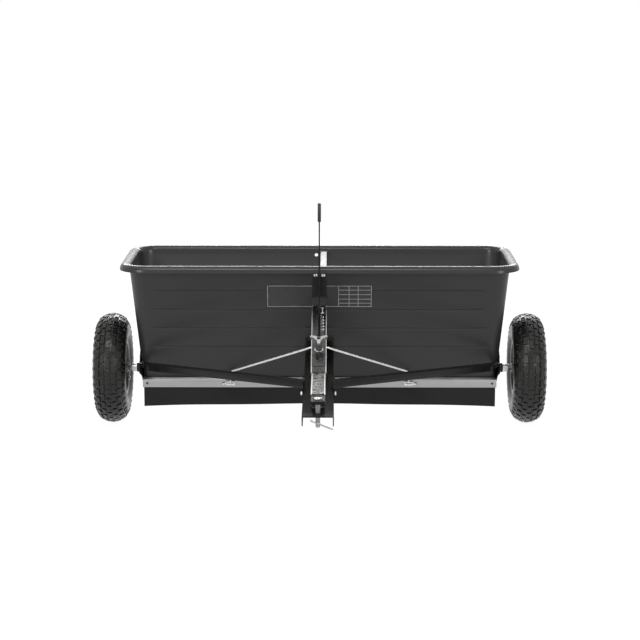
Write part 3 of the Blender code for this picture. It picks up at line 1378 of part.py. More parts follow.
def make_flow_bracket(parent, slope):
    length = face_length()
    half = BRACKET_WIDTH / 2
    thick = BRACKET_THICKNESS
    outline = [(-half, 0.0), (half, 0.0), (half, length), (-half, length)]
    slot_middle = (SLOT_START + SLOT_END) / 2
    slot = slot_outline(0.0, slot_middle, (SLOT_END - SLOT_START) / 2, SLOT_HALF_WIDTH)
    face = plate("flow_bracket", outline, thick, "black_paint", slope, "XY", (0, 0, -thick / 2), (slot,))
    face = to_mesh_object(face)
    drop = BRACKET_LUG_DEPTH
    c, s = cos(BRACKET_SLOPE), sin(BRACKET_SLOPE)
    lug_near = (0.048 * c - drop * s, -0.048 * s - drop * c)
    lug_far = (0.002 * c - drop * s, -0.002 * s - drop * c)
    deep = BRACKET_SIDE_DEPTH
    side_outline = [
        (0.0002, -thick / 2), (length, -thick / 2), (length - deep * tan(BRACKET_SLOPE + FRONT_TILT), -deep),
        (0.105, -deep), lug_near, lug_far,
    ]
    for side in (-1, 1):
        wing = plate(
            "bracket_side", side_outline, thick, "black_paint", slope, "YZ",
            (side * (half - 0.0002 - thick / 2), 0, 0),
        )
        join(face, to_mesh_object(wing))
    bolt_z = RIM_TOP_Z - BRACKET_BOLT_BELOW_RIM
    seat = empty("bracket_seat", on_wall(0, bolt_z, 0), parent, (FRONT_TILT, 0, 0))
    top = BRACKET_BOLT_BELOW_RIM - BRACKET_TAB_TOP_BELOW_RIM
    foot = -(bolt_z - along_slope(length)[2]) / cos(FRONT_TILT) - deep * 0.6
    narrow = BRACKET_TAB_HALF_TOP
    outline = [
        (-narrow, top), (-narrow, -0.012), (-half + 0.0003, -0.024), (-half + 0.0003, foot),
        (half - 0.0003, foot), (half - 0.0003, -0.024), (narrow, -0.012), (narrow, top),
    ]
    back = plate("bracket_back", outline, thick, "black_paint", seat, "XZ", (0, -GAP - thick / 2, 0))
    join(face, to_mesh_object(back))
    bolt_spots = [hole((s * BRACKET_BOLT_X, 0, 0), (0, 1, 0), BOLT_M6 + GAP, 0.03) for s in (-1, 1)]
    cut(face, bolt_spots, seat)
    cut(face, [hole((0, BRACKET_CROSS_BOLT_Y, CROSS_BOLT_Z), (1, 0, 0), BOLT_M6 + GAP, 0.08)], parent)

    scale_outline = [
        (-half + 0.002, SCALE_START), (half - 0.002, SCALE_START),
        (half - 0.002, SCALE_END), (-half + 0.002, SCALE_END),
    ]
    scale_slot = slot_outline(
        0.0, (SLOT_START + SCALE_END) / 2, (SCALE_END - SLOT_START) / 2, SLOT_HALF_WIDTH + 0.0005
    )
    open_top = [(x, min(y, SCALE_END - 0.002)) for x, y in scale_slot]
    plate(
        "scale_plate", scale_outline, SCALE_THICKNESS, "galvanised", slope, "XY",
        (0, 0, GAP + SCALE_THICKNESS / 2), (open_top,),
    )
    grip = thick + HOPPER_WALL + 4 * GAP
    for side, under in ((-1, 0.0), (1, STRAP_THICKNESS + GAP)):
        at = (side * BRACKET_BOLT_X, -2 * GAP - thick, 0)
        bolt(f"bracket_bolt_{side_name(side)}", seat, BOLT_M6, at, (0, 1, 0), grip + under, domed=True)
    cross = half + GAP
    at = (cross, BRACKET_CROSS_BOLT_Y, CROSS_BOLT_Z)
    bolt("bracket_cross_bolt", parent, BOLT_M6, at, (-1, 0, 0), 2 * cross)
    return seat, bolt_spots


def make_cross_strap(parent):
    top = RIM_TOP_Z - STRAP_BELOW_RIM
    end = RIM_TOP_Z - BRACKET_BOLT_BELOW_RIM - STRAP_TAB
    half_top = inner_half_y(WALL_TOP_Z)
    path = [
        (inner_half_y(end), end), (half_top, WALL_TOP_Z), (half_top, top),
        (-half_top, top), (-half_top, WALL_TOP_Z), (-inner_half_y(end), end),
    ]
    strap = plate(
        "cross_strap", wall_outline(path, STRAP_THICKNESS), STRAP_WIDTH, "galvanised", parent, "YZ",
        (BRACKET_BOLT_X, 0, 0),
    )
    strap = to_mesh_object(strap)
    bolt_z = RIM_TOP_Z - BRACKET_BOLT_BELOW_RIM
    spots = []
    for front in (True, False):
        at = on_wall(BRACKET_BOLT_X, bolt_z, 0, front)
        spots.append(hole(at, wall_axis(front), BOLT_M6 + GAP, 0.03))
    cut(strap, spots, parent)
    grip = HOPPER_WALL + STRAP_THICKNESS + 4 * GAP
    at = on_wall(BRACKET_BOLT_X, bolt_z, GAP, False)
    bolt("strap_bolt", parent, BOLT_M6, at, wall_axis(False), grip, domed=True)


def make_stop(slope):
    stop = empty("stop_seat", (0, STOP_AT, 0), slope)
    face = BRACKET_THICKNESS
    stud = STOP_KNOB_HEIGHT + face - STOP_STUD_RADIUS * THREAD_PAST_GRIP - 0.006
    bolt("stop_bolt", stop, STOP_STUD_RADIUS, (0, 0, -face - GAP), (0, 0, 1), stud, domed=True, nut=False)
    base = 2 * GAP + SCALE_THICKNESS
    bore = STOP_STUD_RADIUS + GAP
    washer = [(bore, STOP_WASHER), (STOP_WASHER_RADIUS, STOP_WASHER), (STOP_WASHER_RADIUS, 0.0), (bore, 0.0)]
    smooth(turned("stop_washer", washer, "zinc", stop, closed=True, steps=16, at=(0, 0, base)))
    knob = empty("stop_knob_axis", (0, 0, base + STOP_WASHER + GAP), stop)
    height = STOP_KNOB_HEIGHT - base - STOP_WASHER
    hub = [
        (bore, height), (KNOB_HUB_RADIUS * 0.8, height), (KNOB_HUB_RADIUS * 0.8, height * 0.35),
        (KNOB_HUB_RADIUS, height * 0.2), (KNOB_HUB_RADIUS, 0.0), (bore, 0.0),
    ]
    body = to_mesh_object(turned("stop_knob", hub, "knob_grey", knob, closed=True, steps=15))
    outline = []
    for k in range(KNOB_SIDES):
        a = 2 * pi * k / KNOB_SIDES
        lobe = (0.5 + 0.5 * cos(3 * (a - pi / 6))) ** 1.6
        reach = KNOB_HUB_RADIUS + lobe * (KNOB_REACH - KNOB_HUB_RADIUS)
        outline.append((reach * cos(a), reach * sin(a)))
    lobes = plate(
        "knob_lobes", outline, KNOB_THICKNESS, "knob_grey", knob, "XY",
        (0, 0, height - 0.003), (circle(0, 0, KNOB_BORE, 12),),
    )
    join(body, to_mesh_object(lobes))
    return knob


def make_lever(parent):
    pivot = empty("lever_pivot", (0, LEVER_PIVOT_Y, LEVER_PIVOT_Z), parent, (-LEVER_LEAN, 0, 0))
    half = LEVER_HALF_WIDTH
    bottom = [(half * cos(a), half * sin(a)) for a in (pi + pi * k / 8 for k in range(9))]
    taper = LEVER_LENGTH * 0.7
    narrow = half * 0.7
    outline = bottom + [(half, taper), (narrow, LEVER_LENGTH), (-narrow, LEVER_LENGTH), (-half, taper)]
    near = ROD_RISE / cos(LEVER_LEAN)
    far = ROD_RISE / cos(radians(LEVER_SWING_DEG) - LEVER_LEAN)
    slot_half = (far - near) / 2 + ROD_RADIUS + ROD_SLACK
    slot = slot_outline(0.0, (near + far) / 2, slot_half, ROD_RADIUS + ROD_SLACK)
    bore = circle(0, 0, PIVOT_RADIUS + RUNNING_GAP, 14)
    plate("lever", outline, LEVER_THICKNESS, "zinc", pivot, "YZ", (0, 0, 0), (bore, slot))

    bm = bmesh.new()
    centre = LEVER_LENGTH - GRIP_LENGTH / 2 + 0.004
    size = (GRIP_THICKNESS, 2 * GRIP_HALF_WIDTH, GRIP_LENGTH)
    spot = Matrix.Translation((0, 0, centre)) @ Matrix.Diagonal((*size, 1.0))
    bmesh.ops.create_cube(bm, size=1.0, matrix=spot)
    grip = add("lever_grip", mesh_from(bm, "lever_grip"), "grip_plastic", pivot)
    bevel = grip.modifiers.new("round", "BEVEL")
    bevel.width = GRIP_THICKNESS * 0.38
    bevel.segments = 2
    pocket = (LEVER_THICKNESS + 2 * GAP, 2 * (half + GAP), GRIP_LENGTH)
    cut(grip, [block((0, 0, centre - 0.004 + GAP), pocket)], pivot)
    return pivot


# Braces

def brace_bolt_ys():
    return (BRACE_BOLT_FIRST_Y, BRACE_BOLT_FIRST_Y - BRACE_BOLT_SPACING)


def make_brace(side, parent):
    """A steel angle from the end plate's ear to a plate on the channel's side."""
    label = side_name(side)
    tab_inner = CHANNEL_WIDTH / 2 + GAP
    start = Vector((side * BRACE_OUTER_X, BRACE_OUTER_Y - 0.0005, AXLE_Z + BRACE_OUTER_ABOVE_AXLE))
    end = Vector((side * (tab_inner + BRACE_THICKNESS / 2), BRACE_INNER_Y, AXLE_Z + BRACE_INNER_ABOVE_AXLE))
    run = end - start
    heading = atan2(run.y, run.x)
    pitch = -atan2(run.z, hypot(run.x, run.y))
    frame = empty(f"brace_frame_{label}", start, parent, (0, pitch, heading))
    length = run.length
    back = -side
    top_centre = (length / 2, back * BRACE_TOP / 2, -BRACE_THICKNESS / 2)
    bm = bmesh.new()
    bmesh.ops.create_cube(bm, size=1.0, matrix=Matrix.Translation(top_centre) @ Matrix.Diagonal(
        (length, BRACE_TOP, BRACE_THICKNESS, 1.0)
    ))
    for v in bm.verts:
        if v.co.x > length - 0.001:
            v.co.x -= abs(v.co.y * run.y / run.x)
    brace = add(f"brace_{label}", mesh_from(bm, "brace"), "black_paint", frame)
    trim = EAR_TAB_LENGTH / abs(cos(heading)) + 0.012
    bm = bmesh.new()
    side_end = length - 0.003
    side_centre = ((side_end + trim) / 2, back * BRACE_THICKNESS / 2, -BRACE_SIDE / 2 - FUSE)
    bmesh.ops.create_cube(bm, size=1.0, matrix=Matrix.Translation(side_centre) @ Matrix.Diagonal(
        (side_end - trim, BRACE_THICKNESS - 2 * FUSE, BRACE_SIDE, 1.0)
    ))
    join(brace, add("brace_side", mesh_from(bm, "brace_side"), "black_paint", frame))
    ys = brace_bolt_ys()
    tab_front, tab_rear = min(ys) - 0.018, max(ys) + 0.018
    tab_top = AXLE_Z + BRACE_INNER_ABOVE_AXLE + 0.0004
    tab_low = BRACE_BOLT_Z - 0.014
    outline = [(tab_front, tab_low), (tab_rear, tab_low), (tab_rear, tab_top - 0.012),
               (tab_rear - 0.035, tab_top), (tab_front + 0.010, tab_top), (tab_front, tab_top - 0.010)]
    tab = plate(
        "brace_tab", outline, BRACE_THICKNESS, "black_paint", parent, "YZ",
        (side * (tab_inner + BRACE_THICKNESS / 2), 0, 0),
    )
    join(brace, to_mesh_object(tab))
    grip = BRACE_THICKNESS - FUSE + CHANNEL_WALL + 2 * GAP
    at_x = side * (tab_inner + BRACE_THICKNESS - FUSE)
    places = [((at_x, y, BRACE_BOLT_Z), (-side, 0, 0), grip) for y in ys]
    head = brace_end_bolt(side) + Vector((0, 0, BRACE_END_HEAD_LIFT))
    places.append((head, (0, 0, -1), BRACE_THICKNESS + END_PLATE + BRACE_END_NUT_DROP))
    bm = bmesh.new()
    for at, axis, reach in places:
        add_bolt(bm, at, axis, BOLT_M6, reach)
    join(brace, add("bolts", mesh_from(bm, "bolts"), "zinc", parent))


# The whole assembly

def end_frame(side, parent):
    at = (side * wall_half_x(AXLE_Z), 0, AXLE_Z)
    return empty(f"end_frame_{side_name(side)}", at, parent, (0, side * END_TILT, 0))


def build():
    make_materials()
    root = empty("spreader_origin", (0, CENTRE_SHIFT_Y, 0))
    drive_line = empty("drive_line", (0, 0, AXLE_Z), root)
    free_line = empty("free_wheel_line", (0, 0, AXLE_Z), root)
    shutoff = empty("shutoff_origin", (0, 0, 0), root)
    slope = empty("bracket_slope", (0, BRACKET_FOOT_Y, BRACKET_FOOT_Z), root, (BRACKET_SLOPE, 0, 0))
    end_frames = {side: end_frame(side, root) for side in (-1, 1)}

    make_wheel(-1, drive_line)
    make_wheel(1, free_line)
    make_axle(drive_line)
    make_drive_pin(drive_line)
    make_axle_bearings(root)
    make_pan(root, end_frames)
    make_shutoff(shutoff)
    make_control_rod(shutoff)

    drawbar_seat, drawbar_spots = make_drawbar(root)
    make_tube(root)
    make_hitch(root)
    bracket_seat, bracket_spots = make_flow_bracket(root, slope)
    make_cross_strap(root)
    make_lever(root)
    make_stop(slope)
    for side, frame in end_frames.items():
        make_end_plate(side, frame, root)
        make_brace(side, root)
    make_hopper(root, end_frames, {drawbar_seat: drawbar_spots, bracket_seat: bracket_spots})


clear_scene()
PARTS = collection("drop_spreader")
CUTTERS = collection("cutters", hidden=True)
build()
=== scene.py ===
import json
from math import atan, cos, hypot, pi, radians, sin, tan

import bmesh
import bpy
from mathutils import Matrix, Vector, noise


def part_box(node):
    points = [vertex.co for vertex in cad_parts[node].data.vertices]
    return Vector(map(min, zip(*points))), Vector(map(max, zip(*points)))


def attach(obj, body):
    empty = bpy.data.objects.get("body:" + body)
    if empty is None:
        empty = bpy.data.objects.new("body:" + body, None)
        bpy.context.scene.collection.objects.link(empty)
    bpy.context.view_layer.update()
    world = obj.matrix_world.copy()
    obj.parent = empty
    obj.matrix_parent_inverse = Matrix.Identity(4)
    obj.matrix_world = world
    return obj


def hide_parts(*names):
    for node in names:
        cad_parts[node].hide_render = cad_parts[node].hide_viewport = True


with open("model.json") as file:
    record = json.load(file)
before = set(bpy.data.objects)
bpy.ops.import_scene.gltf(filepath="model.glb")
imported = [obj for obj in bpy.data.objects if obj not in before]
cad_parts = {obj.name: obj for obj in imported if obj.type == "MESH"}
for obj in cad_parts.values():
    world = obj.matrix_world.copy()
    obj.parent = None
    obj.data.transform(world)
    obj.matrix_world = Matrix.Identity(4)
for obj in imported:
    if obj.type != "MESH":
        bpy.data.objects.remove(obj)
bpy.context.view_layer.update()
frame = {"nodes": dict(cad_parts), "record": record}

AXLE_Y = 0.340
AXLE_Z = 0.1675
GAP = 0.0003
BORE_PLAY = 0.0004
TINY = 1e-6
NODES = frame["nodes"]
BODY_OF = {
    node: body
    for body, members in frame["record"]["behaviour"]["bodies"].items()
    for node in members
}
SLOT_OF = {row["node"]: row["material_slot"] for row in frame["record"]["subparts"]}

# Hopper: the CAD's sizes, with finer grooves
WALL = 0.004
FOOT_HALF_X, FOOT_HALF_Y = 0.5321, 0.0764
END_FLARE, SIDE_FLARE = 0.0299, 0.1056
FOOT_BELOW_AXLE = 0.034
FOOT_Z = AXLE_Z - FOOT_BELOW_AXLE
RIM_TOP_Z = FOOT_Z + 0.3815
WALL_TOP_Z = RIM_TOP_Z - 0.022
FOOT_CORNER, TOP_CORNER = 0.018, 0.052
RIM_REACH, RIM_DROP, RIM_BLEND = 0.030, 0.0185, 0.006
GROOVE_FIRST, GROOVE_PITCH, GROOVE_COUNT = 0.078, 0.060, 4
GROOVE_DEPTH, GROOVE_HALF, GROOVE_FADE = 0.0025, 0.0032, 0.030
GROOVE_EASE = ((0.25, 0.16), (0.5, 0.5), (0.75, 0.84), (1.0, 1.0), (1.6, 1.0))
GROOVE_SECTION = ((-1.4, 0.0), (-0.8, 0.25), (-0.35, 0.9), (0.0, 1.0), (0.35, 0.9), (0.8, 0.25), (1.4, 0.0))
RIM_SECTION = (
    (0.02, 0.62), (0.08, 0.34), (0.17, 0.14), (0.30, 0.03), (0.44, 0.0), (0.60, 0.02),
    (0.76, 0.12), (0.89, 0.30), (0.97, 0.55), (1.0, 0.95),
)
AXLE_HOLE, BOLT_HOLE, SPARE_HOLE = 0.0122, 0.0033, 0.005
END_BOLT_LOW, END_BOLT_HIGH, END_BOLT_Y = 0.021 - FOOT_BELOW_AXLE, 0.044, 0.050
REAR_BOLT_BELOW_RIM, REAR_BOLT_X = 0.028, 0.0115
CORNER_STEPS = 10
SLOPE_X = END_FLARE / (WALL_TOP_Z - FOOT_Z)
SLOPE_Y = SIDE_FLARE / (WALL_TOP_Z - FOOT_Z)
FRONT_TILT = atan(SLOPE_Y)
END_TILT = atan(SLOPE_X)

# Wheels
TYRE_RADIUS, TYRE_WIDTH = 0.1675, 0.099
TREAD_DEPTH = 0.004
TREAD_PITCHES = 34
BEAD_RADIUS = 0.0774
GROOVE_FLOOR_RADIUS = 0.146
RIM_FLANGE, RIM_SEAT, RIM_WIDTH, RIM_SHEET = 0.087, 0.0765, 0.082, 0.0025
HUB_RADIUS, HUB_WIDTH = 0.0145, 0.088
AXLE_RADIUS, BUSH_WALL = 0.008, 0.003
HUB_BUSH_LENGTH = 0.020
BUSH_FLANGE, BUSH_FLANGE_RADIUS = 0.002, 0.0175
BEARING_BARREL, BEARING_BOSS, BEARING_BOSS_RADIUS = 0.0125, 0.0165, 0.014
END_SHEET = 0.003
BEARING_SEAT_X = FOOT_HALF_X + FOOT_BELOW_AXLE * SLOPE_X + (GAP + END_SHEET) / cos(END_TILT)
BEARING_X = BEARING_SEAT_X + BUSH_FLANGE_RADIUS * tan(END_TILT) + GAP
SPACER_RADIUS, SPACER_EDGE = 0.0125, 0.0008
END_WASHER = 0.0015
INNER_HAIRPIN_BEFORE_HUB, END_HAIRPIN_AFTER_WASHER = 0.0022, 0.0035
WHEEL_X = (abs(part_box("tyre_right")[0].x) + abs(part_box("tyre_right")[1].x)) / 2
LATHE_STEPS, SMALL_STEPS = 64, 48
WIRE = 0.00125

# Drawbar: channel, square tube on it, hitch plate and pin
WEB_TOP = AXLE_Z + 0.0705
TUBE_SIZE = 0.0381
TUBE_TOP = WEB_TOP + GAP + TUBE_SIZE
PLATE_TOP = TUBE_TOP - 0.0028
CHANNEL_REACH, PIN_BEHIND_FRONT = 0.892, 0.044
PIN_Y = AXLE_Y - CHANNEL_REACH + PIN_BEHIND_FRONT
PIN_RADIUS, PIN_LENGTH = 0.0062, 0.076

# Lever's pivot, V rod and the strip that it draws
LEVER_LEAN = radians(6.0)
PIVOT = Vector((0, AXLE_Y - 0.262, TUBE_TOP - TUBE_SIZE / 2))
ROD_RADIUS = 0.0035
ROD_Z = TUBE_TOP + 0.0085
ROD_END_X = 0.268
STRIP_FRONT_Y = AXLE_Y - FOOT_HALF_Y - 0.0176
ROD_END_Y = STRIP_FRONT_Y - 0.013
CROSS_Y = PIVOT.y + (ROD_Z - PIVOT.z) * tan(LEVER_LEAN)
STRIP_TOP = FOOT_Z - GAP + 0.017
TAB_TOP = STRIP_TOP - 0.0005
TAB_SHEET = 0.002
ROD_PIN_Z = TAB_TOP - TAB_SHEET - 0.0058

# Sloping bracket with the rate scale, and its stop
BRACKET_SHEET = 0.002
BRACKET_FOOT = (-0.555, TUBE_TOP + GAP + BRACKET_SHEET)
BRACKET_SLOPE = radians(19.9)
BRACKET_PAINT_Z = 0.4015
BRACKET_BEND_Z = 0.4200
# Distance from the middle beyond which the bracket's bent edges carry a painted highlight
BRACKET_HIGHLIGHT_X = 0.0186
SCALE_FACE = GAP + 0.0008
STOP_AT, STOP_WASHER = 0.115, 0.002
LABEL_HALF = 0.1556
LABEL_LOW_Z, LABEL_HIGH_Z = 0.3843, 0.4541


# Helpers

def link(obj):
    bpy.context.scene.collection.objects.link(obj)
    return obj


def side_name(side):
    return "left" if side < 0 else "right"


def circle(radius, steps):
    return [(radius * cos(2 * pi * k / steps), radius * sin(2 * pi * k / steps)) for k in range(steps)]


def bridge(bm, low, high):
    """Faces between two closed rings with the same number of points."""
    for k in range(len(low)):
        nxt = (k + 1) % len(low)
        bm.faces.new((low[k], low[nxt], high[nxt], high[k]))


def mesh_from(bm, name):
    bmesh.ops.recalc_face_normals(bm, faces=bm.faces)
    mesh = bpy.data.meshes.new(name)
    bm.to_mesh(mesh)
    bm.free()
    return mesh


def finish_piece(obj, body, material, replaced=(), angle=32):
    """Smooth shading, finish and body of one new piece, and the nodes that it replaces."""
    obj.data.shade_smooth()
    obj.data.set_sharp_from_angle(angle=radians(angle))
    obj.data.materials.clear()
    obj.data.materials.append(material)
    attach(obj, body)
    if replaced:
        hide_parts(*replaced)
    return obj


def stand_in(name, node, mesh, material, angle):
    """A finer mesh that takes the place of one CAD node."""
    obj = link(bpy.data.objects.new(name, mesh))
    return finish_piece(obj, BODY_OF[node], material, (node,), angle)


def evaluated(obj, name):
    """The object's mesh with its modifiers applied, as new data, and the object removed."""
    bpy.context.view_layer.update()
    graph = bpy.context.evaluated_depsgraph_get()
    mesh = bpy.data.meshes.new_from_object(obj.evaluated_get(graph))
    mesh.name = name
    mesh.transform(obj.matrix_world)
    bpy.data.objects.remove(obj)
    return mesh


def lathe(profile, at, axis, steps):
    """A mesh turned about an axis. The profile is (radius, height) pairs; radius 0 closes an end."""
    bm = bmesh.new()
    turn = Vector((0, 0, 1)).rotation_difference(Vector(axis).normalized())
    matrix = Matrix.Translation(at) @ turn.to_matrix().to_4x4()
    rings = []
    for radius, height in profile:
        spots = [(0, 0)] if radius < TINY else circle(radius, steps)
        rings.append([bm.verts.new(matrix @ Vector((x, y, height))) for x, y in spots])
    closed = profile[0][0] > TINY and profile[-1][0] > TINY
    pairs = list(zip(rings, rings[1:])) + ([(rings[-1], rings[0])] if closed else [])
    for low, high in pairs:
        for k in range(steps):
            nxt = (k + 1) % steps
            corners = [low[k % len(low)], low[nxt % len(low)], high[nxt % len(high)], high[k % len(high)]]
            unique = list(dict.fromkeys(corners))
            if len(unique) > 2:
                bm.faces.new(unique)
    return mesh_from(bm, "lathe")


def round_corners(points, radius, steps=3, even=True):
    """A line whose inner corners are rounded by quadratic arcs, which take as much of both legs if even."""
    made = [points[0]]
    for before, here, after in zip(points, points[1:], points[2:]):
        corner = Vector(here)
        legs = [Vector(end) - corner for end in (before, after)]
        reaches = [min(radius, leg.length * 0.45) for leg in legs]
        if even:
            reaches = [min(reaches)] * 2
        start, end = (corner + leg.normalized() * reach for leg, reach in zip(legs, reaches))
        for k in range(steps + 1):
            t = k / steps
            made.append(start * (1 - t) ** 2 + corner * 2 * t * (1 - t) + end * t ** 2)
    made.append(points[-1])
    return made


def cut_away(obj, cutters):
    """The object's mesh with closed meshes cut out of it."""
    tools = [link(bpy.data.objects.new("cutter", mesh)) for mesh in cutters]
    for k, tool in enumerate(tools):
        boolean = obj.modifiers.new(f"cut_{k}", "BOOLEAN")
        boolean.operation = "DIFFERENCE"
        boolean.solver = "EXACT"
        boolean.object = tool
    mesh = evaluated(obj, obj.name)
    for tool in tools:
        bpy.data.objects.remove(tool)
    return mesh


def rod_mesh(at, axis, radius, length, steps):
    half = length / 2
    return lathe([(0, -half), (radius, -half), (radius, half), (0, half)], at, axis, steps)


def catmull(points, steps):
    """A smooth open line through the points."""
    vectors = [Vector(p) for p in points]
    last = len(vectors) - 1
    made = []
    for k in range(last):
        a, b = vectors[max(k - 1, 0)], vectors[k]
        c, d = vectors[k + 1], vectors[min(k + 2, last)]
        for n in range(steps):
            t = n / steps
            made.append(0.5 * (
                2 * b + (c - a) * t + (2 * a - 5 * b + 4 * c - d) * t * t
                + (3 * b - a - 3 * c + d) * t ** 3
            ))
    made.append(vectors[-1])
    return made


def tube_along(points, radius, steps, name):
    """A closed round wire along a line, with its ends drawn in."""
    bm = bmesh.new()
    tangent = (points[1] - points[0]).normalized()
    side = tangent.orthogonal().normalized()
    rings = []
    for k, point in enumerate(points):
        before, after = points[max(k - 1, 0)], points[min(k + 1, len(points) - 1)]
        fresh = (after - before).normalized()
        side = (side - fresh * side.dot(fresh)).normalized()
        up = fresh.cross(side)
        share = radius * (0.6 if k in (0, len(points) - 1) else 1.0)
        rings.append([bm.verts.new(point + (side * x + up * y) * share) for x, y in circle(1.0, steps)])
    for low, high in zip(rings, rings[1:]):
        bridge(bm, low, high)
    bm.faces.new(rings[0])
    bm.faces.new(rings[-1])
    return mesh_from(bm, name)


# Materials

def new_material(name, colour, roughness, metallic=0.0, gloss=0.5):
    material = bpy.data.materials.new(name)
    material.use_nodes = True
    shader = material.node_tree.nodes["Principled BSDF"]
    shader.inputs["Base Color"].default_value = (*colour, 1.0)
    shader.inputs["Roughness"].default_value = roughness
    shader.inputs["Metallic"].default_value = metallic
    shader.inputs["Specular IOR Level"].default_value = gloss
    return material, material.node_tree, shader


def coat(tree, shader, colour, rough):
    tree.links.new(colour, shader.inputs["Base Color"])
    tree.links.new(rough, shader.inputs["Roughness"])


def object_coordinates(tree):
    return tree.nodes.new("ShaderNodeTexCoord").outputs["Object"]


def add_noise(tree, vector, scale, detail):
    made = tree.nodes.new("ShaderNodeTexNoise")
    made.inputs["Scale"].default_value = scale
    made.inputs["Detail"].default_value = detail
    tree.links.new(vector, made.inputs["Vector"])
    return made.outputs["Fac"]


def to_range(tree, factor, low, high, from_low=0.3, from_high=0.7):
    made = tree.nodes.new("ShaderNodeMapRange")
    made.inputs["From Min"].default_value = from_low
    made.inputs["From Max"].default_value = from_high
    made.inputs["To Min"].default_value = low
    made.inputs["To Max"].default_value = high
    tree.links.new(factor, made.inputs["Value"])
    return made.outputs["Result"]


def step_at(tree, value, place, half):
    """Zero below the place and one above it, blended over a half width to each side."""
    return to_range(tree, value, 0.0, 1.0, place - half, place + half)


def feed(tree, socket, value):
    if isinstance(value, bpy.types.NodeSocket):
        tree.links.new(value, socket)
    else:
        socket.default_value = value


def math_node(tree, operation, *values):
    made = tree.nodes.new("ShaderNodeMath")
    made.operation = operation
    for socket, value in zip(made.inputs, values):
        feed(tree, socket, value)
    return made.outputs["Value"]


def place_of(tree, vector):
    """The X, Y and Z of a vector, as sockets."""
    made = tree.nodes.new("ShaderNodeSeparateXYZ")
    tree.links.new(vector, made.inputs["Vector"])
    return made.outputs


def add_bump(tree, shader, height, strength, distance):
    made = tree.nodes.new("ShaderNodeBump")
    made.inputs["Strength"].default_value = strength
    made.inputs["Distance"].default_value = distance
    tree.links.new(height, made.inputs["Height"])
    tree.links.new(made.outputs["Normal"], shader.inputs["Normal"])


def mix_colours(tree, factor, first, second):
    """Two colours, given as sockets or as three numbers, mixed by a factor."""
    made = tree.nodes.new("ShaderNodeMix")
    made.data_type = "RGBA"
    tree.links.new(factor, made.inputs["Factor"])
    for socket, value in ((made.inputs[6], first), (made.inputs[7], second)):
        feed(tree, socket, value if isinstance(value, bpy.types.NodeSocket) else (*value, 1.0))
    return made.outputs[2]


def hopper_plastic():
    """Moulded polyethylene: charcoal, a fine orange peel, faint clouding, glossier on the rolled rim."""
    material, tree, shader = new_material("moulded_plastic", (0.030, 0.030, 0.032), 0.38, gloss=0.34)
    vector = object_coordinates(tree)
    cloud = add_noise(tree, vector, 9.0, 5.0)
    drift = to_range(tree, cloud, 0.0, 1.0, 0.2, 0.8)
    colour = mix_colours(tree, drift, (0.0300, 0.0300, 0.0314), (0.0345, 0.0345, 0.0360))
    low, high = WALL_TOP_Z - RIM_BLEND, WALL_TOP_Z + RIM_BLEND
    coat(tree, shader, colour, to_range(tree, place_of(tree, vector)["Z"], 0.40, 0.23, low, high))
    add_bump(tree, shader, add_noise(tree, vector, 900.0, 2.0), 0.08, 0.0005)
    return material


def clouded(name, dark, light, rough, cloud, grain, bump, metallic=0.0, gloss=0.5):
    """A finish whose tone and roughness drift in soft clouds under a fine grain.
    Cloud and grain are (scale, detail), and bump is (strength, distance)."""
    middle = [(a + b) / 2 for a, b in zip(dark, light)]
    material, tree, shader = new_material(name, middle, sum(rough) / 2, metallic, gloss)
    vector = object_coordinates(tree)
    drift = add_noise(tree, vector, *cloud)
    colour = mix_colours(tree, to_range(tree, drift, 0.0, 1.0), dark, light)
    coat(tree, shader, colour, to_range(tree, drift, *rough))
    add_bump(tree, shader, add_noise(tree, vector, *grain), *bump)
    return material


def rubber(name, dark, light, rough, grain, strength, gloss):
    """Moulded rubber with a dusty bloom."""
    return clouded(name, dark, light, rough, (26.0, 5.0), (grain, 3.0), (strength, 0.0006), gloss=gloss)


def plain(name, colour, roughness, metallic=0.0, spread=0.12, scale=60.0, grain=800.0):
    """A plain finish with faint variation of tone."""
    dark = [c * (1 - spread) for c in colour]
    light = [min(1.0, c * (1 + spread)) for c in colour]
    rough = (roughness * 0.88, min(1.0, roughness * 1.12))
    return clouded(name, dark, light, rough, (scale, 4.0), (grain, 2.0), (0.08, 0.0004), metallic)


def painted_highlight_mask(tree, vector, across, height):
    """Where a painted highlight goes: one beyond the given distance from the middle and above the given
    height, and zero elsewhere.
    """
    place = place_of(tree, vector)
    blend = 0.0004
    outer = step_at(tree, math_node(tree, "ABSOLUTE", place["X"]), across, blend)
    upper = step_at(tree, place["Z"], height, blend)
    return math_node(tree, "MULTIPLY", outer, upper)


def galvanised(name, dark, light, low, high, spangle, corner=None):
    """Hot-dip zinc: crystal spangle in colour and gloss. The corners can carry a painted highlight, near
    white and free of spangle.
    """
    material, tree, shader = new_material(name, light, 0.45, 1.0)
    vector = object_coordinates(tree)
    cells = tree.nodes.new("ShaderNodeTexVoronoi")
    cells.inputs["Scale"].default_value = spangle
    tree.links.new(vector, cells.inputs["Vector"])
    grey = tree.nodes.new("ShaderNodeSeparateColor")
    tree.links.new(cells.outputs["Color"], grey.inputs["Color"])
    colour = mix_colours(tree, grey.outputs["Red"], dark, light)
    if corner:
        # Painted highlight: near white along the top corners, where the lamps would glint on the rounded
        # edges
        colour = mix_colours(tree, painted_highlight_mask(tree, vector, *corner), colour, (1.0, 1.0, 0.98))
    coat(tree, shader, colour, to_range(tree, grey.outputs["Green"], low, high, 0.0, 1.0))
    add_bump(tree, shader, add_noise(tree, vector, 500.0, 3.0), 0.10, 0.0004)
    return material


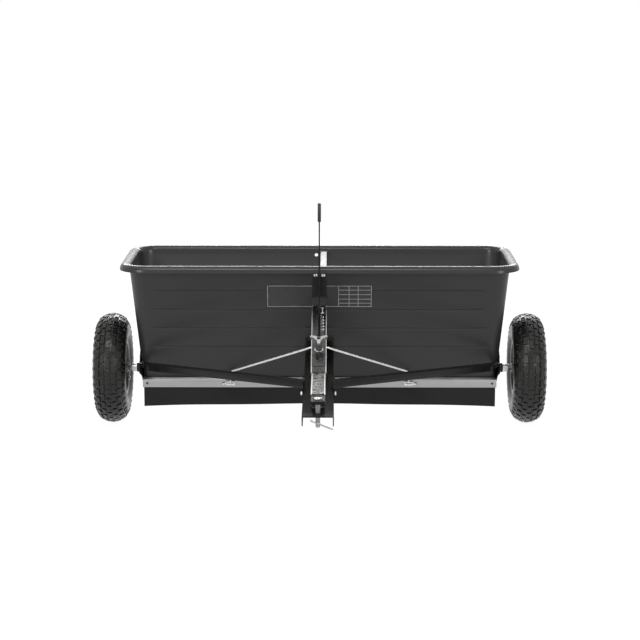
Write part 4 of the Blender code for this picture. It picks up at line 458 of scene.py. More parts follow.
FINISH = {
    "hopper_plastic": hopper_plastic(),
    "black_paint": clouded(
        "powder_coat", (0.006, 0.006, 0.0055), (0.012, 0.012, 0.011), (0.30, 0.44),
        (35.0, 4.0), (700.0, 2.0), (0.12, 0.0005), gloss=0.16,
    ),
    "zinc": clouded(
        "zinc_plate", (0.58, 0.58, 0.56), (0.76, 0.76, 0.75), (0.20, 0.36),
        (90.0, 4.0), (1600.0, 1.0), (0.06, 0.0003), 1.0,
    ),
    "galvanised": galvanised("galvanised_sheet", (0.33, 0.33, 0.325), (0.39, 0.39, 0.385), 0.40, 0.50, 90.0),
    "tyre_rubber": rubber(
        "tyre_rubber", (0.007, 0.007, 0.006), (0.015, 0.014, 0.013), (0.24, 0.38), 420.0, 0.16, 0.36
    ),
    "rim_grey": plain("rim_paint", (0.24, 0.24, 0.23), 0.30),
    "skirt_rubber": rubber(
        "skirt_rubber", (0.011, 0.011, 0.011), (0.017, 0.017, 0.017), (0.50, 0.62), 300.0, 0.10, 0.22
    ),
    "grip_plastic": plain("black_plastic", (0.010, 0.010, 0.010), 0.40),
    # The knob's top faces: a lighter copy of its grey plastic, as painted light from above
    "knob_grey": plain("knob_top_painted_light", (0.60, 0.60, 0.59), 0.30),
    "bush_nylon": plain("nylon", (0.55, 0.55, 0.52), 0.50),
    "steel": plain("drawn_steel", (0.50, 0.50, 0.48), 0.32, 1.0),
}
TUBE_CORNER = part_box("tongue_tube")[1]
# Width of the painted highlight along the tube's two top corners
PAINTED_HIGHLIGHT_EDGE = 0.0030
SPANGLED = galvanised(
    "spangled_tube", (0.003, 0.003, 0.003), (0.64, 0.64, 0.625), 0.32, 0.54, 230.0,
    corner=(TUBE_CORNER.x - PAINTED_HIGHLIGHT_EDGE, TUBE_CORNER.z - PAINTED_HIGHLIGHT_EDGE),
)
# Painted light: a lighter, less metallic copy of the zinc for the hitch pin's shank, standing in for its
# bright reflection in the plate's shade
PIN_SHANK_LIT = plain("pin_shank_painted_light", (0.50, 0.50, 0.485), 0.42, 0.25)
# Painted shade on the knob: darker copies of its plastic, for the arms' sides and for the hub and bore
KNOB_FLANK_SHADE = plain("knob_flank_painted_shade", (0.15, 0.15, 0.147), 0.34)
KNOB_HUB_SHADE = plain("knob_hub_painted_shade", (0.05, 0.05, 0.049), 0.40)
# Painted shade: a darker, duller copy of the tyre rubber for the carcass between the tread blocks
GROOVE_SHADE_RUBBER = rubber(
    "groove_painted_shade", (0.003, 0.003, 0.003), (0.005, 0.005, 0.005), (0.75, 0.9), 420.0, 0.1, 0.12
)
DULL_DARK, DULL_LIGHT = (0.045, 0.045, 0.044), (0.13, 0.13, 0.127)
DARK_ZINC = galvanised("dull_zinc", DULL_DARK, DULL_LIGHT, 0.24, 0.40, 300.0)
RIVET = plain("rivet_head", (0.05, 0.05, 0.05), 0.40, 1.0)
STRIP = plain("strip_sheet", (0.37, 0.375, 0.37), 0.40, 1.0, 0.05, 25.0, 500.0)
STRAP = galvanised("strap_sheet", (0.18, 0.18, 0.178), (0.27, 0.27, 0.265), 0.40, 0.52, 220.0)


def bracket_finish():
    """Dull zinc with a painted highlight along its side margins up to BRACKET_PAINT_Z, olive grey above it,
    black on the tab.
    """
    material, tree, shader = new_material("bracket_finish", (0.13, 0.13, 0.128), 0.34, 1.0, 0.25)
    blend, highlight_blend = 0.0008, 0.0003
    vector = object_coordinates(tree)
    place = place_of(tree, vector)
    painted = step_at(tree, place["Z"], BRACKET_PAINT_Z, blend)
    cloud = add_noise(tree, vector, 160.0, 4.0)
    metal = mix_colours(tree, to_range(tree, cloud, 0.0, 1.0), DULL_DARK, DULL_LIGHT)
    # Painted highlight: light grey along the side margins, where the bent edges would catch the lamps
    highlight_margin = step_at(tree, math_node(tree, "ABSOLUTE", place["X"]), BRACKET_HIGHLIGHT_X, highlight_blend)
    metal = mix_colours(tree, highlight_margin, metal, (0.62, 0.62, 0.60))
    tab = step_at(tree, place["Z"], BRACKET_BEND_Z, blend)
    paint = mix_colours(tree, tab, (0.055, 0.053, 0.046), (0.004, 0.004, 0.0035))
    colour = mix_colours(tree, painted, metal, paint)
    coat(tree, shader, colour, to_range(tree, cloud, 0.28, 0.40))
    tree.links.new(math_node(tree, "SUBTRACT", 1.0, painted), shader.inputs["Metallic"])
    add_bump(tree, shader, add_noise(tree, vector, 700.0, 2.0), 0.10, 0.0004)
    return material


BRACKET = bracket_finish()


# Hopper

def half_x(z):
    return FOOT_HALF_X + (z - FOOT_Z) * SLOPE_X


def half_y(z):
    return FOOT_HALF_Y + (z - FOOT_Z) * SLOPE_Y


def side_run(start, end, inset, groove):
    """Points inside a straight side; the groove eases in over its fade at each end."""
    start, end = Vector(start), Vector(end)
    span = (end - start).length
    along = (end - start) / span
    first = [(reach * GROOVE_FADE, depth) for reach, depth in GROOVE_EASE]
    last = [(span - s, d) for s, d in reversed(first)]
    return [start + along * s + Vector(inset) * (groove * d) for s, d in first + last]


def hopper_ring(hx, hy, corner, z, groove=0.0):
    """One level of the hopper: four rounded corners and four straight sides."""
    quarter = pi / 2
    arcs = []
    for sx, sy, start in ((1, -1, -quarter), (1, 1, 0.0), (-1, 1, quarter), (-1, -1, pi)):
        arcs.append([
            Vector((
                sx * (hx - corner) + corner * cos(start + k * quarter / CORNER_STEPS),
                sy * (hy - corner) + corner * sin(start + k * quarter / CORNER_STEPS),
            ))
            for k in range(CORNER_STEPS + 1)
        ])
    inward = ((-1, 0), (0, -1), (1, 0), (0, 1))
    points = []
    for k in range(4):
        points += arcs[k]
        points += side_run(arcs[k][-1], arcs[(k + 1) % 4][0], inward[k], groove)
    return [(p.x, p.y + AXLE_Y, z) for p in points]


def corner_at(z):
    share = (z - FOOT_Z) / (WALL_TOP_Z - FOOT_Z)
    return FOOT_CORNER + share * (TOP_CORNER - FOOT_CORNER)


def middle_ring(z, out=0.0, groove=0.0, height=None):
    """The middle of the wall at level z, moved outwards, and drawn at another height where one is given."""
    half = WALL / 2
    place = z if height is None else height
    return hopper_ring(half_x(z) - half + out, half_y(z) - half + out, corner_at(z) + out, place, groove)


def hopper_rings():
    """The wall's levels from the foot to the edge of the rolled rim."""
    rings = [middle_ring(FOOT_Z + WALL / 4)]
    first = RIM_TOP_Z - GROOVE_FIRST
    for k in reversed(range(GROOVE_COUNT)):
        z = first - k * GROOVE_PITCH
        for off, share in GROOVE_SECTION:
            rings.append(middle_ring(z + off * GROOVE_HALF, groove=share * GROOVE_DEPTH))
    rings.append(middle_ring(WALL_TOP_Z - RIM_BLEND))
    rings.append(middle_ring(WALL_TOP_Z))
    crown = RIM_TOP_Z - WALL / 2
    for out, down in RIM_SECTION:
        rings.append(middle_ring(WALL_TOP_Z, out * RIM_REACH, 0.0, crown - down * RIM_DROP))
    return rings


def end_places():
    """Bolts of one end plate: across and up from the axle line, in the plane of the hopper's end."""
    return [(y, z) for z in (END_BOLT_LOW, END_BOLT_HIGH) for y in (-END_BOLT_Y, END_BOLT_Y)]


def end_point(side, y, z, out=0.0):
    """A point on the hopper's end wall, from the axle line, out along the wall's own normal."""
    x = FOOT_HALF_X + FOOT_BELOW_AXLE * SLOPE_X + z * sin(END_TILT) + out * cos(END_TILT)
    return Vector((side * x, AXLE_Y + y, AXLE_Z + z * cos(END_TILT) - out * sin(END_TILT)))


def end_normal(side):
    return Vector((side * cos(END_TILT), 0, -sin(END_TILT)))


def wall_point(x, z, out=0.0, front=True):
    sign = -1 if front else 1
    y = sign * (half_y(z) + out * cos(FRONT_TILT))
    return Vector((x, AXLE_Y + y, z - out * sin(FRONT_TILT)))


def hopper_cutters():
    """Holes for the axle, the end plates' bolts and the rear strap's bolt, and a spare one beside it."""
    cutters = [rod_mesh((0, AXLE_Y, AXLE_Z), (1, 0, 0), AXLE_HOLE, 1.4, 32)]
    for side in (-1, 1):
        for y, z in end_places():
            cutters.append(rod_mesh(end_point(side, y, z), end_normal(side), BOLT_HOLE, 0.03, 16))
    for x, radius in ((REAR_BOLT_X, BOLT_HOLE), (-REAR_BOLT_X, SPARE_HOLE)):
        at = wall_point(x, RIM_TOP_Z - REAR_BOLT_BELOW_RIM, front=False)
        cutters.append(rod_mesh(at, (0, cos(FRONT_TILT), -sin(FRONT_TILT)), radius, 0.03, 24))
    return cutters


def make_hopper():
    bm = bmesh.new()
    rings = [[bm.verts.new(p) for p in r] for r in hopper_rings()]
    for low, high in zip(rings, rings[1:]):
        bridge(bm, low, high)
    shell = link(bpy.data.objects.new("hopper_shell", mesh_from(bm, "hopper_shell")))
    wall = shell.modifiers.new("wall", "SOLIDIFY")
    wall.thickness = WALL
    wall.offset = 0.0
    wall.use_even_offset = True
    mesh = cut_away(shell, hopper_cutters())
    stand_in("hopper_shell", "hopper", mesh, FINISH["hopper_plastic"], 40)


# Wheels

TYRE_HALF_SECTION = (
    (0.76, 0.0), (0.77, 0.07), (0.84, 0.16), (0.95, 0.28), (1.0, 0.41), (0.985, 0.53), (0.94, 0.63),
    (0.86, 0.73), (0.74, 0.82), (0.58, 0.893), (0.40, 0.948), (0.20, 0.987), (0.0, 1.0),
)
TYRE_INSIDE = ((0.0, 0.93), (0.35, 0.88), (0.70, 0.70), (0.88, 0.42), (0.66, 0.06))
# Rows of tread blocks: place across, width, length in pitches, notch, shift in pitches, turn
TREAD_ROWS = (
    (0.0, 0.0134, 0.84, 0.0034, 0.0, 1),
    (0.0165, 0.0134, 0.84, 0.0034, 0.5, 1),
    (-0.0165, 0.0134, 0.84, 0.0034, 0.5, -1),
    (0.0336, 0.0152, 0.76, 0.0, 0.0, 1),
    (-0.0336, 0.0152, 0.76, 0.0, 0.0, -1),
    (0.0524, 0.0156, 0.46, 0.0, 0.5, 1),
    (-0.0524, 0.0156, 0.46, 0.0, 0.5, -1),
)
SHOULDER_AT, SHOULDER_SHARE = 0.045, 0.55
BLOCK_SUNK, BLOCK_EDGE = 0.0012, 0.0009


def axle_point(side, x):
    """A point of the axle's line, x metres from the middle to one side."""
    return Vector((side * x, AXLE_Y, AXLE_Z))


def tyre_point(across, up):
    """Radius and place across of a point of the carcass, from shares of its height and half width."""
    crown = TYRE_RADIUS - TREAD_DEPTH
    return Vector((BEAD_RADIUS + up * (crown - BEAD_RADIUS), across * TYRE_WIDTH / 2))


TYRE_LINE = catmull([(*tyre_point(*p), 0.0) for p in TYRE_HALF_SECTION], 6)


def crown_at(distance):
    """Point and outward direction on the carcass, at a distance along its section from the middle."""
    line = list(reversed(TYRE_LINE))
    left = abs(distance)
    for a, b in zip(line, line[1:]):
        step = (b - a).length
        if left <= step:
            point = a.lerp(b, left / step)
            along = (b - a).normalized()
            sign = 1 if distance >= 0 else -1
            return Vector((point.x, sign * point.y)), Vector((abs(along.y), sign * abs(along.x)))
        left -= step
    return Vector((line[-1].x, line[-1].y)), Vector((0, 1))


def block_outline(width, length, notch, turn):
    """A rounded tread block with a notch in one side."""
    wide, long = width / 2, length / 2
    cut = min(wide, long) * 0.42
    mid = cut * 0.3
    points = [(-wide + cut, -long), (wide - cut, -long), (wide - mid, -long + mid), (wide, -long + cut)]
    if notch:
        mouth, floor = long * 0.22, long * 0.16
        points += [(wide, -mouth), (wide - notch, -floor), (wide - notch, floor), (wide, mouth)]
    points += [
        (wide, long - cut), (wide - mid, long - mid), (wide - cut, long), (-wide + cut, long),
        (-wide + mid, long - mid), (-wide, long - cut), (-wide, -long + cut), (-wide + mid, -long + mid),
    ]
    return [(x * turn, y) for x, y in points]


def add_block(bm, outline, place, angle, centre, high):
    """Raises one outline from the tyre: place is its middle across the tread, angle its turn."""
    rings = []
    for lift, shrink in ((-BLOCK_SUNK, 1.0), (high - BLOCK_EDGE, 0.95), (high, 0.82)):
        ring = []
        for x, y in outline:
            point, normal = crown_at(place + x * shrink)
            radius = point.x + normal.x * lift
            across = point.y + normal.y * lift
            a = angle + y * shrink / TYRE_RADIUS
            ring.append(bm.verts.new(centre + Vector((across, radius * cos(a), radius * sin(a)))))
        rings.append(ring)
    for low, top in zip(rings, rings[1:]):
        bridge(bm, low, top)
    bm.faces.new(rings[-1])


def carcass_profile():
    """Radius and place across, round the tyre's outside and back along its inside."""
    outer = [(p.x, p.y) for p in TYRE_LINE]
    inner = [tyre_point(*p) for p in TYRE_INSIDE]
    profile = outer + [(r, -a) for r, a in reversed(outer[:-1])]
    return profile + [(p.x, -p.y) for p in reversed(inner[1:])] + [(p.x, p.y) for p in inner]


def make_tyre(side):
    name = f"tyre_{side_name(side)}"
    centre = axle_point(side, WHEEL_X)
    bm = bmesh.new()
    bm.from_mesh(lathe(carcass_profile(), centre, (1, 0, 0), 4 * TREAD_PITCHES))
    # Painted shade: carcass faces in the tread, between the blocks, take the darker groove rubber
    for face in bm.faces:
        place = face.calc_center_median() - centre
        if hypot(place.y, place.z) > GROOVE_FLOOR_RADIUS:
            face.material_index = 1
    pitch = 2 * pi / TREAD_PITCHES
    for place, width, share, notch, shift, turn in TREAD_ROWS:
        outline = block_outline(width, pitch * TYRE_RADIUS * share, notch, turn)
        high = TREAD_DEPTH * (1.0 if abs(place) < SHOULDER_AT else SHOULDER_SHARE)
        for k in range(TREAD_PITCHES):
            add_block(bm, outline, place, (k + shift) * pitch + pi / 2, centre, high)
    piece = stand_in(f"{name}_tread", name, mesh_from(bm, f"{name}_tread"), FINISH["tyre_rubber"], 30)
    piece.data.materials.append(GROOVE_SHADE_RUBBER)


def rim_profile():
    half = RIM_WIDTH / 2
    inside = RIM_SEAT - RIM_SHEET
    disc = RIM_SHEET / 2
    dish = 0.008
    bore = AXLE_RADIUS + BUSH_WALL + GAP
    hub_end = HUB_WIDTH / 2
    return [
        (RIM_FLANGE, half), (RIM_FLANGE, half - RIM_SHEET), (RIM_SEAT, half - RIM_SHEET),
        (RIM_SEAT, RIM_SHEET - half), (RIM_FLANGE, RIM_SHEET - half), (RIM_FLANGE, -half),
        (inside, -half), (inside, -disc), (inside * 0.70, dish - disc), (HUB_RADIUS * 1.6, dish - disc),
        (HUB_RADIUS, -disc), (HUB_RADIUS, -hub_end), (bore, -hub_end), (bore, hub_end),
        (HUB_RADIUS, hub_end), (HUB_RADIUS, disc), (HUB_RADIUS * 1.6, dish + disc),
        (inside * 0.70, dish + disc), (inside, disc), (inside, half),
    ]


def turned(node, ending, profile, at, axis, finish, angle, steps=SMALL_STEPS):
    stand_in(f"{node}_{ending}", node, lathe(profile, at, axis, steps), FINISH[finish], angle)


def make_rim(side):
    profile = round_corners(rim_profile(), 0.0012, 2)
    at = axle_point(side, WHEEL_X)
    turned(f"rim_{side_name(side)}", "pressed", profile, at, (side, 0, 0), "rim_grey", 35, LATHE_STEPS)


# Small turned pieces, each on the node that it stands for

def bush_profile(barrel, flange_radius, boss_radius=None, boss=0.0):
    """Radius and height round a bush: its bore, barrel and flange, and a boss on the flange."""
    bore, outer = AXLE_RADIUS + BORE_PLAY, AXLE_RADIUS + BUSH_WALL
    crown = [(boss_radius, BUSH_FLANGE + boss), (boss_radius, BUSH_FLANGE)] if boss else []
    return [
        *crown, (flange_radius, BUSH_FLANGE), (flange_radius, 0.0), (outer, 0.0),
        (outer, -barrel), (bore, -barrel), (bore, BUSH_FLANGE + boss),
    ]


def make_bearing(side):
    profile = bush_profile(BEARING_BARREL, BUSH_FLANGE_RADIUS, BEARING_BOSS_RADIUS, BEARING_BOSS)
    profile = round_corners(profile, 0.0006)
    at = axle_point(side, BEARING_X)
    turned(f"axle_bearing_{side_name(side)}", "moulded", profile, at, (side, 0, 0), "grip_plastic", 40)


def make_sleeve(side, stem, ending, outer, edge):
    """A spacer or washer on the axle, as long as its node and as far out."""
    node = f"{stem}_{side_name(side)}"
    low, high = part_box(node)
    bore, length = AXLE_RADIUS + BORE_PLAY, high.x - low.x
    profile = [
        (bore, length), (outer - edge, length), (outer, length - edge),
        (outer, edge), (outer - edge, 0.0), (bore, 0.0),
    ]
    at = axle_point(side, min(abs(low.x), abs(high.x)))
    turned(node, ending, profile, at, (side, 0, 0), "zinc", 30)


def make_hub_bushes(side):
    profile = round_corners(bush_profile(HUB_BUSH_LENGTH, HUB_RADIUS - 0.001), 0.0005)
    for end, place in ((-side, "inner"), (side, "outer")):
        node = f"hub_bush_{side_name(side)}_{place}"
        spot = Vector((side * WHEEL_X + end * (HUB_WIDTH / 2 + GAP), AXLE_Y, AXLE_Z))
        turned(node, "moulded", profile, spot, (end, 0, 0), "bush_nylon", 40)


VALVE_PROFILE = (
    (0.0, 0.0), (0.0042, 0.0), (0.0042, -0.008), (0.0034, -0.011), (0.0028, -0.012), (0.0028, -0.017),
    (0.0032, -0.0172), (0.0032, -0.022), (0.0, -0.022),
)


def make_valve(side):
    node = f"valve_{side_name(side)}"
    low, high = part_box(node)
    top = Vector(((low.x + high.x) / 2, AXLE_Y, high.z))
    turned(node, "moulded", VALVE_PROFILE, top, (0, 0, 1), "tyre_rubber", 40, 24)


# Wire hairpins

def hairpin_line(pin_radius, longer=0.0):
    """Centreline in its own XZ plane: the straight leg along X, the eye and the bowed leg."""
    bow = pin_radius + WIRE + 2 * GAP
    eye = 0.0042
    leg = pin_radius + 0.016 + longer
    tip = -(pin_radius + 0.008 + longer / 2)
    points = [(tip, 0.0), (tip * 0.5, 0.0), (leg * 0.5, 0.0), (leg, 0.0)]
    for k in range(1, 5):
        a = -pi / 2 + k * pi * 1.15 / 5
        points.append((leg + 1.3 * eye * cos(a), eye + eye * sin(a)))
    points += [
        (leg - 0.004, eye * 1.7), (pin_radius + 0.003, bow * 0.62), (pin_radius * 0.35, bow * 1.08),
        (-pin_radius * 0.35, bow * 1.08), (-pin_radius - 0.002, bow * 0.62), (tip - 0.002, bow * 1.05),
    ]
    return catmull([(u, 0.0, v) for u, v in points], 5)


def frame_of(leg, bow):
    x, z = Vector(leg).normalized(), Vector(bow).normalized()
    return Matrix((x, z.cross(x), z)).transposed()


def make_hairpin(node, pin_radius, at, matrix, longer=0.0):
    line = [Vector(at) + matrix @ p for p in hairpin_line(pin_radius, longer)]
    mesh = tube_along(line, WIRE, 10, node)
    stand_in(f"{node}_wire", node, mesh, FINISH["zinc"], 50)


def make_axle_hairpin(side, leg, twist):
    """The pin inside a wheel, its bowed leg turned away from the hub."""
    across = leg.cross(Vector((1, 0, 0))).normalized()
    bow = across * cos(twist) - Vector((side, 0, 0)) * sin(twist)
    before_hub = HUB_WIDTH / 2 + GAP + BUSH_FLANGE + INNER_HAIRPIN_BEFORE_HUB
    at = axle_point(side, WHEEL_X - before_hub)
    turn = frame_of(leg, bow)
    make_hairpin(f"axle_hairpin_{side_name(side)}", AXLE_RADIUS / cos(twist), at, turn, longer=0.010)


def make_side_hairpins(side):
    """The pins outside a wheel and at the rod's end."""
    after_hub = HUB_WIDTH / 2 + GAP + BUSH_FLANGE + GAP + END_WASHER + END_HAIRPIN_AFTER_WASHER
    at = axle_point(side, WHEEL_X + after_hub)
    make_hairpin(f"end_hairpin_{side_name(side)}", AXLE_RADIUS, at, frame_of((0, 0, 1), (0, 1, 0)))
    at = Vector((side * ROD_END_X, ROD_END_Y, ROD_PIN_Z))
    make_hairpin(f"rod_hairpin_{side_name(side)}", ROD_RADIUS, at, frame_of((side, 0, 0), (0, -1, 0)))


def make_hitch_hairpin():
    droop, tilt, above_tip = radians(22.0), radians(35.0), 0.0085
    leg = Vector((cos(droop), 0.0, -sin(droop)))
    bow = Vector((0, -1, 0)) * cos(tilt) + Vector((sin(droop), 0.0, cos(droop))) * sin(tilt)
    at = Vector((0, PIN_Y, PLATE_TOP + GAP - PIN_LENGTH + above_tip))
    make_hairpin("hitch_hairpin", PIN_RADIUS / cos(tilt), at, frame_of(leg, bow), longer=0.013)


def make_hairpins():
    twist = radians(28.0)
    for side, leg in ((-1, (0.0, -0.45, -0.89)), (1, (0.0, -0.94, 0.34))):
        make_axle_hairpin(side, Vector(leg).normalized(), twist)
        make_side_hairpins(side)
    make_hitch_hairpin()


# The V rod from the lever to the strip

def make_rod():
    """The V from the lever to the two tabs, with every bend rounded."""
    bend = TAB_TOP + 0.030
    right = [
        (0.021, CROSS_Y - 0.0005, ROD_Z), (0.027, CROSS_Y, ROD_Z),
        (ROD_END_X - 0.010, ROD_END_Y - 0.0035, bend + 0.003),
        (ROD_END_X - 0.002, ROD_END_Y - 0.0006, bend - 0.001), (ROD_END_X, ROD_END_Y, bend - 0.009),
        (ROD_END_X, ROD_END_Y, TAB_TOP - 0.014),
    ]
    points = [Vector((-x, y, z)) for x, y, z in reversed(right)] + [Vector(p) for p in right]
    mesh = tube_along(round_corners(points, 0.004, 4, False), ROD_RADIUS, 20, "control_rod_wire")
    stand_in("control_rod_wire", "control_rod", mesh, FINISH["zinc"], 50)


# Pieces that keep the CAD's shape, with their edges broken

MERGE, FLAT_ANGLE, EDGE_ANGLE = 1e-5, radians(0.6), radians(25)


def edged(node, material, bevel, accents=(), slot=None):
    """A copy of a CAD solid with flat faces merged and small rounds on its edges.
    Accents are (middle, reach, material): faces inside that box take that finish."""
    bm = bmesh.new()
    bm.from_mesh(NODES[node].data)
    bmesh.ops.remove_doubles(bm, verts=bm.verts, dist=MERGE)
    bmesh.ops.dissolve_limit(bm, angle_limit=FLAT_ANGLE, verts=bm.verts, edges=bm.edges)
    work = link(bpy.data.objects.new("work", mesh_from(bm, node)))
    rounds = work.modifiers.new("edges", "BEVEL")
    rounds.width = bevel
    rounds.segments = 3 if bevel > 0.001 else 2
    rounds.limit_method = "ANGLE"
    rounds.angle_limit = EDGE_ANGLE
    rounds.use_clamp_overlap = True
    slot = slot or SLOT_OF[node]
    piece = link(bpy.data.objects.new(f"{node}_edged", evaluated(work, node)))
    finish_piece(piece, BODY_OF[node], material or FINISH[slot], (node,), 40)
    for k, (middle, reach, finish) in enumerate(accents):
        piece.data.materials.append(finish)
        for polygon in piece.data.polygons:
            if all(abs(polygon.center[n] - middle[n]) < reach[n] for n in range(3)):
                polygon.material_index = k + 1


END_HEAD_BOX, END_NUT_BOX = (0.0036, 0.0065, 0.0065), (0.011, 0.0065, 0.0065)
END_HEAD_OUT, END_NUT_OUT = 0.007, -0.012
BRACE_HEAD_X, BRACE_HEAD_BELOW_WEB = 0.0478, 0.0085
BRACE_HEAD_YS, BRACE_HEAD_BOX = (-0.490, -0.596), (0.0032, 0.0075, 0.0075)
RIVET_XS, RIVET_BOX = (0.290, 0.520), (0.0046, 0.0022, 0.0046)
SHANK_MIDDLE_Z, SHANK_BOX = 0.231, (0.0075, 0.0075, 0.036)


def bolt_accents():
    """Boxes round the fastenings fused with painted pieces, round the rivets, and round the pin's shank for
    its painted light.
    """
    made = {}
    for side in (-1, 1):
        rows = []
        for y, z in end_places():
            rows.append((end_point(side, y, z, END_HEAD_OUT), END_HEAD_BOX, FINISH["zinc"]))
            rows.append((end_point(side, y, z, END_NUT_OUT), END_NUT_BOX, FINISH["zinc"]))
        made[f"end_plate_{side_name(side)}"] = rows
        spots = [(side * BRACE_HEAD_X, AXLE_Y + y, WEB_TOP - BRACE_HEAD_BELOW_WEB) for y in BRACE_HEAD_YS]
        made[f"brace_{side_name(side)}"] = [(spot, BRACE_HEAD_BOX, FINISH["zinc"]) for spot in spots]
    made["skirt_strip"] = [
        ((side * x, STRIP_FRONT_Y - 0.001, FOOT_Z + 0.006), RIVET_BOX, RIVET)
        for side in (-1, 1) for x in RIVET_XS
    ]
    made["hitch_pin"] = [((0, PIN_Y, SHANK_MIDDLE_Z), SHANK_BOX, PIN_SHANK_LIT)]
    return made


# Node, its own finish where it isn't that of its slot, and the width of its rounded edges
EDGED_PIECES = (
    ("end_plate_left", None, 0.0005), ("end_plate_right", None, 0.0005),
    ("drawbar_channel", None, 0.0008), ("hitch_plate", None, 0.0006), ("flow_bracket", BRACKET, 0.0005),
    ("brace_left", None, 0.0006), ("brace_right", None, 0.0006), ("rod_tab_left", None, 0.0003),
    ("rod_tab_right", None, 0.0003), ("metering_pan", None, 0.0003), ("shutoff_plate", None, 0.0003),
    ("skirt_strip", STRIP, 0.0003), ("tongue_tube", SPANGLED, 0.0003), ("scale_plate", DARK_ZINC, 0.0002),
    ("cross_strap", STRAP, 0.0004), ("axle", None, 0.0004), ("bracket_bolt_left", None, 0.0004),
    ("bracket_bolt_right", None, 0.0004), ("strap_bolt", None, 0.0004), ("stop_washer", None, 0.0004),
    ("lever_grip", None, 0.0012), ("hitch_pin", None, 0.0006), ("drive_pin", None, 0.0003),
)
BLACK_PIECES = (
    "lever", "tube_bolt_front", "tube_bolt_rear", "lever_pivot_bolt", "bracket_cross_bolt",
    "drawbar_bolt_left", "drawbar_bolt_right", "stop_bolt",
)


def make_edged_pieces():
    accents = bolt_accents()
    for node, material, bevel in EDGED_PIECES:
        edged(node, material, bevel, accents.get(node, ()))
    for node in BLACK_PIECES:
        edged(node, None, 0.0005, slot="black_paint")


# Skirt: a thin rubber flap that hangs behind its strip

SKIRT_HALF_X, SKIRT_SHEET = 0.530, 0.002
SKIRT_Y = STRIP_FRONT_Y + 0.0015 + GAP + SKIRT_SHEET / 2
SKIRT_TOP = STRIP_TOP - 0.002
SKIRT_COLUMNS, SKIRT_ROWS = 121, 19


def skirt_point(across, down, low):
    """A point of the flap from shares of its width and height; it bows and ripples below the strip."""
    x = (across * 2 - 1) * SKIRT_HALF_X
    middle = 1 - (across * 2 - 1) ** 2
    wave = 0.0035 * (middle * 2 + 0.25 * sin(5 * pi * across))
    free = max(0.0, down - 0.28)
    ripple = 0.0012 * free * noise.noise(Vector((x * 7.0, down * 1.5, 0.3)))
    return x, SKIRT_Y + 0.010 * middle * free * free + ripple, SKIRT_TOP + (low + wave - SKIRT_TOP) * down


def make_skirt():
    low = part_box("skirt")[0].z
    bm = bmesh.new()
    grid = [
        [
            bm.verts.new(skirt_point(c / (SKIRT_COLUMNS - 1), r / (SKIRT_ROWS - 1), low))
            for c in range(SKIRT_COLUMNS)
        ]
        for r in range(SKIRT_ROWS)
    ]
    for upper, lower in zip(grid, grid[1:]):
        for c in range(SKIRT_COLUMNS - 1):
            bm.faces.new((upper[c], upper[c + 1], lower[c + 1], lower[c]))
    work = link(bpy.data.objects.new("work", mesh_from(bm, "skirt")))
    body = work.modifiers.new("sheet", "SOLIDIFY")
    body.thickness = SKIRT_SHEET
    body.offset = 0.0
    piece = stand_in("skirt_flap", "skirt", evaluated(work, "skirt_flap"), FINISH["skirt_rubber"], 50)


# Stop knob, rate marks and the label's panel

def slope_point(across, s, out=0.0):
    """A point on the bracket's face, s metres up its slope from the foot."""
    y = BRACKET_FOOT[0] + s * cos(BRACKET_SLOPE) - out * sin(BRACKET_SLOPE)
    z = BRACKET_FOOT[1] + s * sin(BRACKET_SLOPE) + out * cos(BRACKET_SLOPE)
    return Vector((across, AXLE_Y + y, z))


def slope_matrix(across, s, out):
    turn = Matrix.Rotation(BRACKET_SLOPE, 4, "X")
    return Matrix.Translation(slope_point(across, s, out)) @ turn


KNOB_TOP, KNOB_REACH, KNOB_LEAST, KNOB_STEPS = 0.040, 0.0285, 0.0066, 96
KNOB_BASE = SCALE_FACE + GAP + STOP_WASHER + GAP
KNOB_LOW = KNOB_TOP - 0.0096
KNOB_BORE, HUB_BORE = 0.0056, 0.0034
# Reach of the hub's painted shade, and the upward share of a face's normal below which it takes the flanks'
# painted shade
SHADED_HUB_REACH, SHADED_FLANK_BELOW = 0.0102, 0.55
# Height of each level of the arms, how far it grows and the radius between the arms
KNOB_LEVELS = (
    (KNOB_LOW, -0.0022, 0.0100), (KNOB_LOW + 0.0006, -0.0008, 0.0103), (KNOB_LOW + 0.0022, 0.0, 0.0107),
    (KNOB_TOP - 0.0034, 0.0, 0.0107), (KNOB_TOP - 0.0012, -0.0007, 0.0104),
    (KNOB_TOP - 0.0003, -0.0018, 0.0100), (KNOB_TOP, -0.0026, 0.0096),
)
HUB_PROFILE = (
    (HUB_BORE, KNOB_TOP - 0.006), (0.0068, KNOB_TOP - 0.006), (0.0072, KNOB_BASE + 0.010),
    (0.0098, KNOB_BASE + 0.0022), (0.0098, KNOB_BASE), (HUB_BORE, KNOB_BASE),
)


def knob_level(height, grow, between):
    """One level round the three arms, which rise a little towards their tips."""
    made = []
    for k in range(KNOB_STEPS):
        a = 2 * pi * k / KNOB_STEPS
        lobe = (0.5 + 0.5 * cos(3 * (a - pi / 6))) ** 3.2
        reach = max(KNOB_LEAST, between + lobe * (KNOB_REACH - between) + grow)
        made.append((reach * cos(a), reach * sin(a), height + 0.0008 * lobe))
    return made


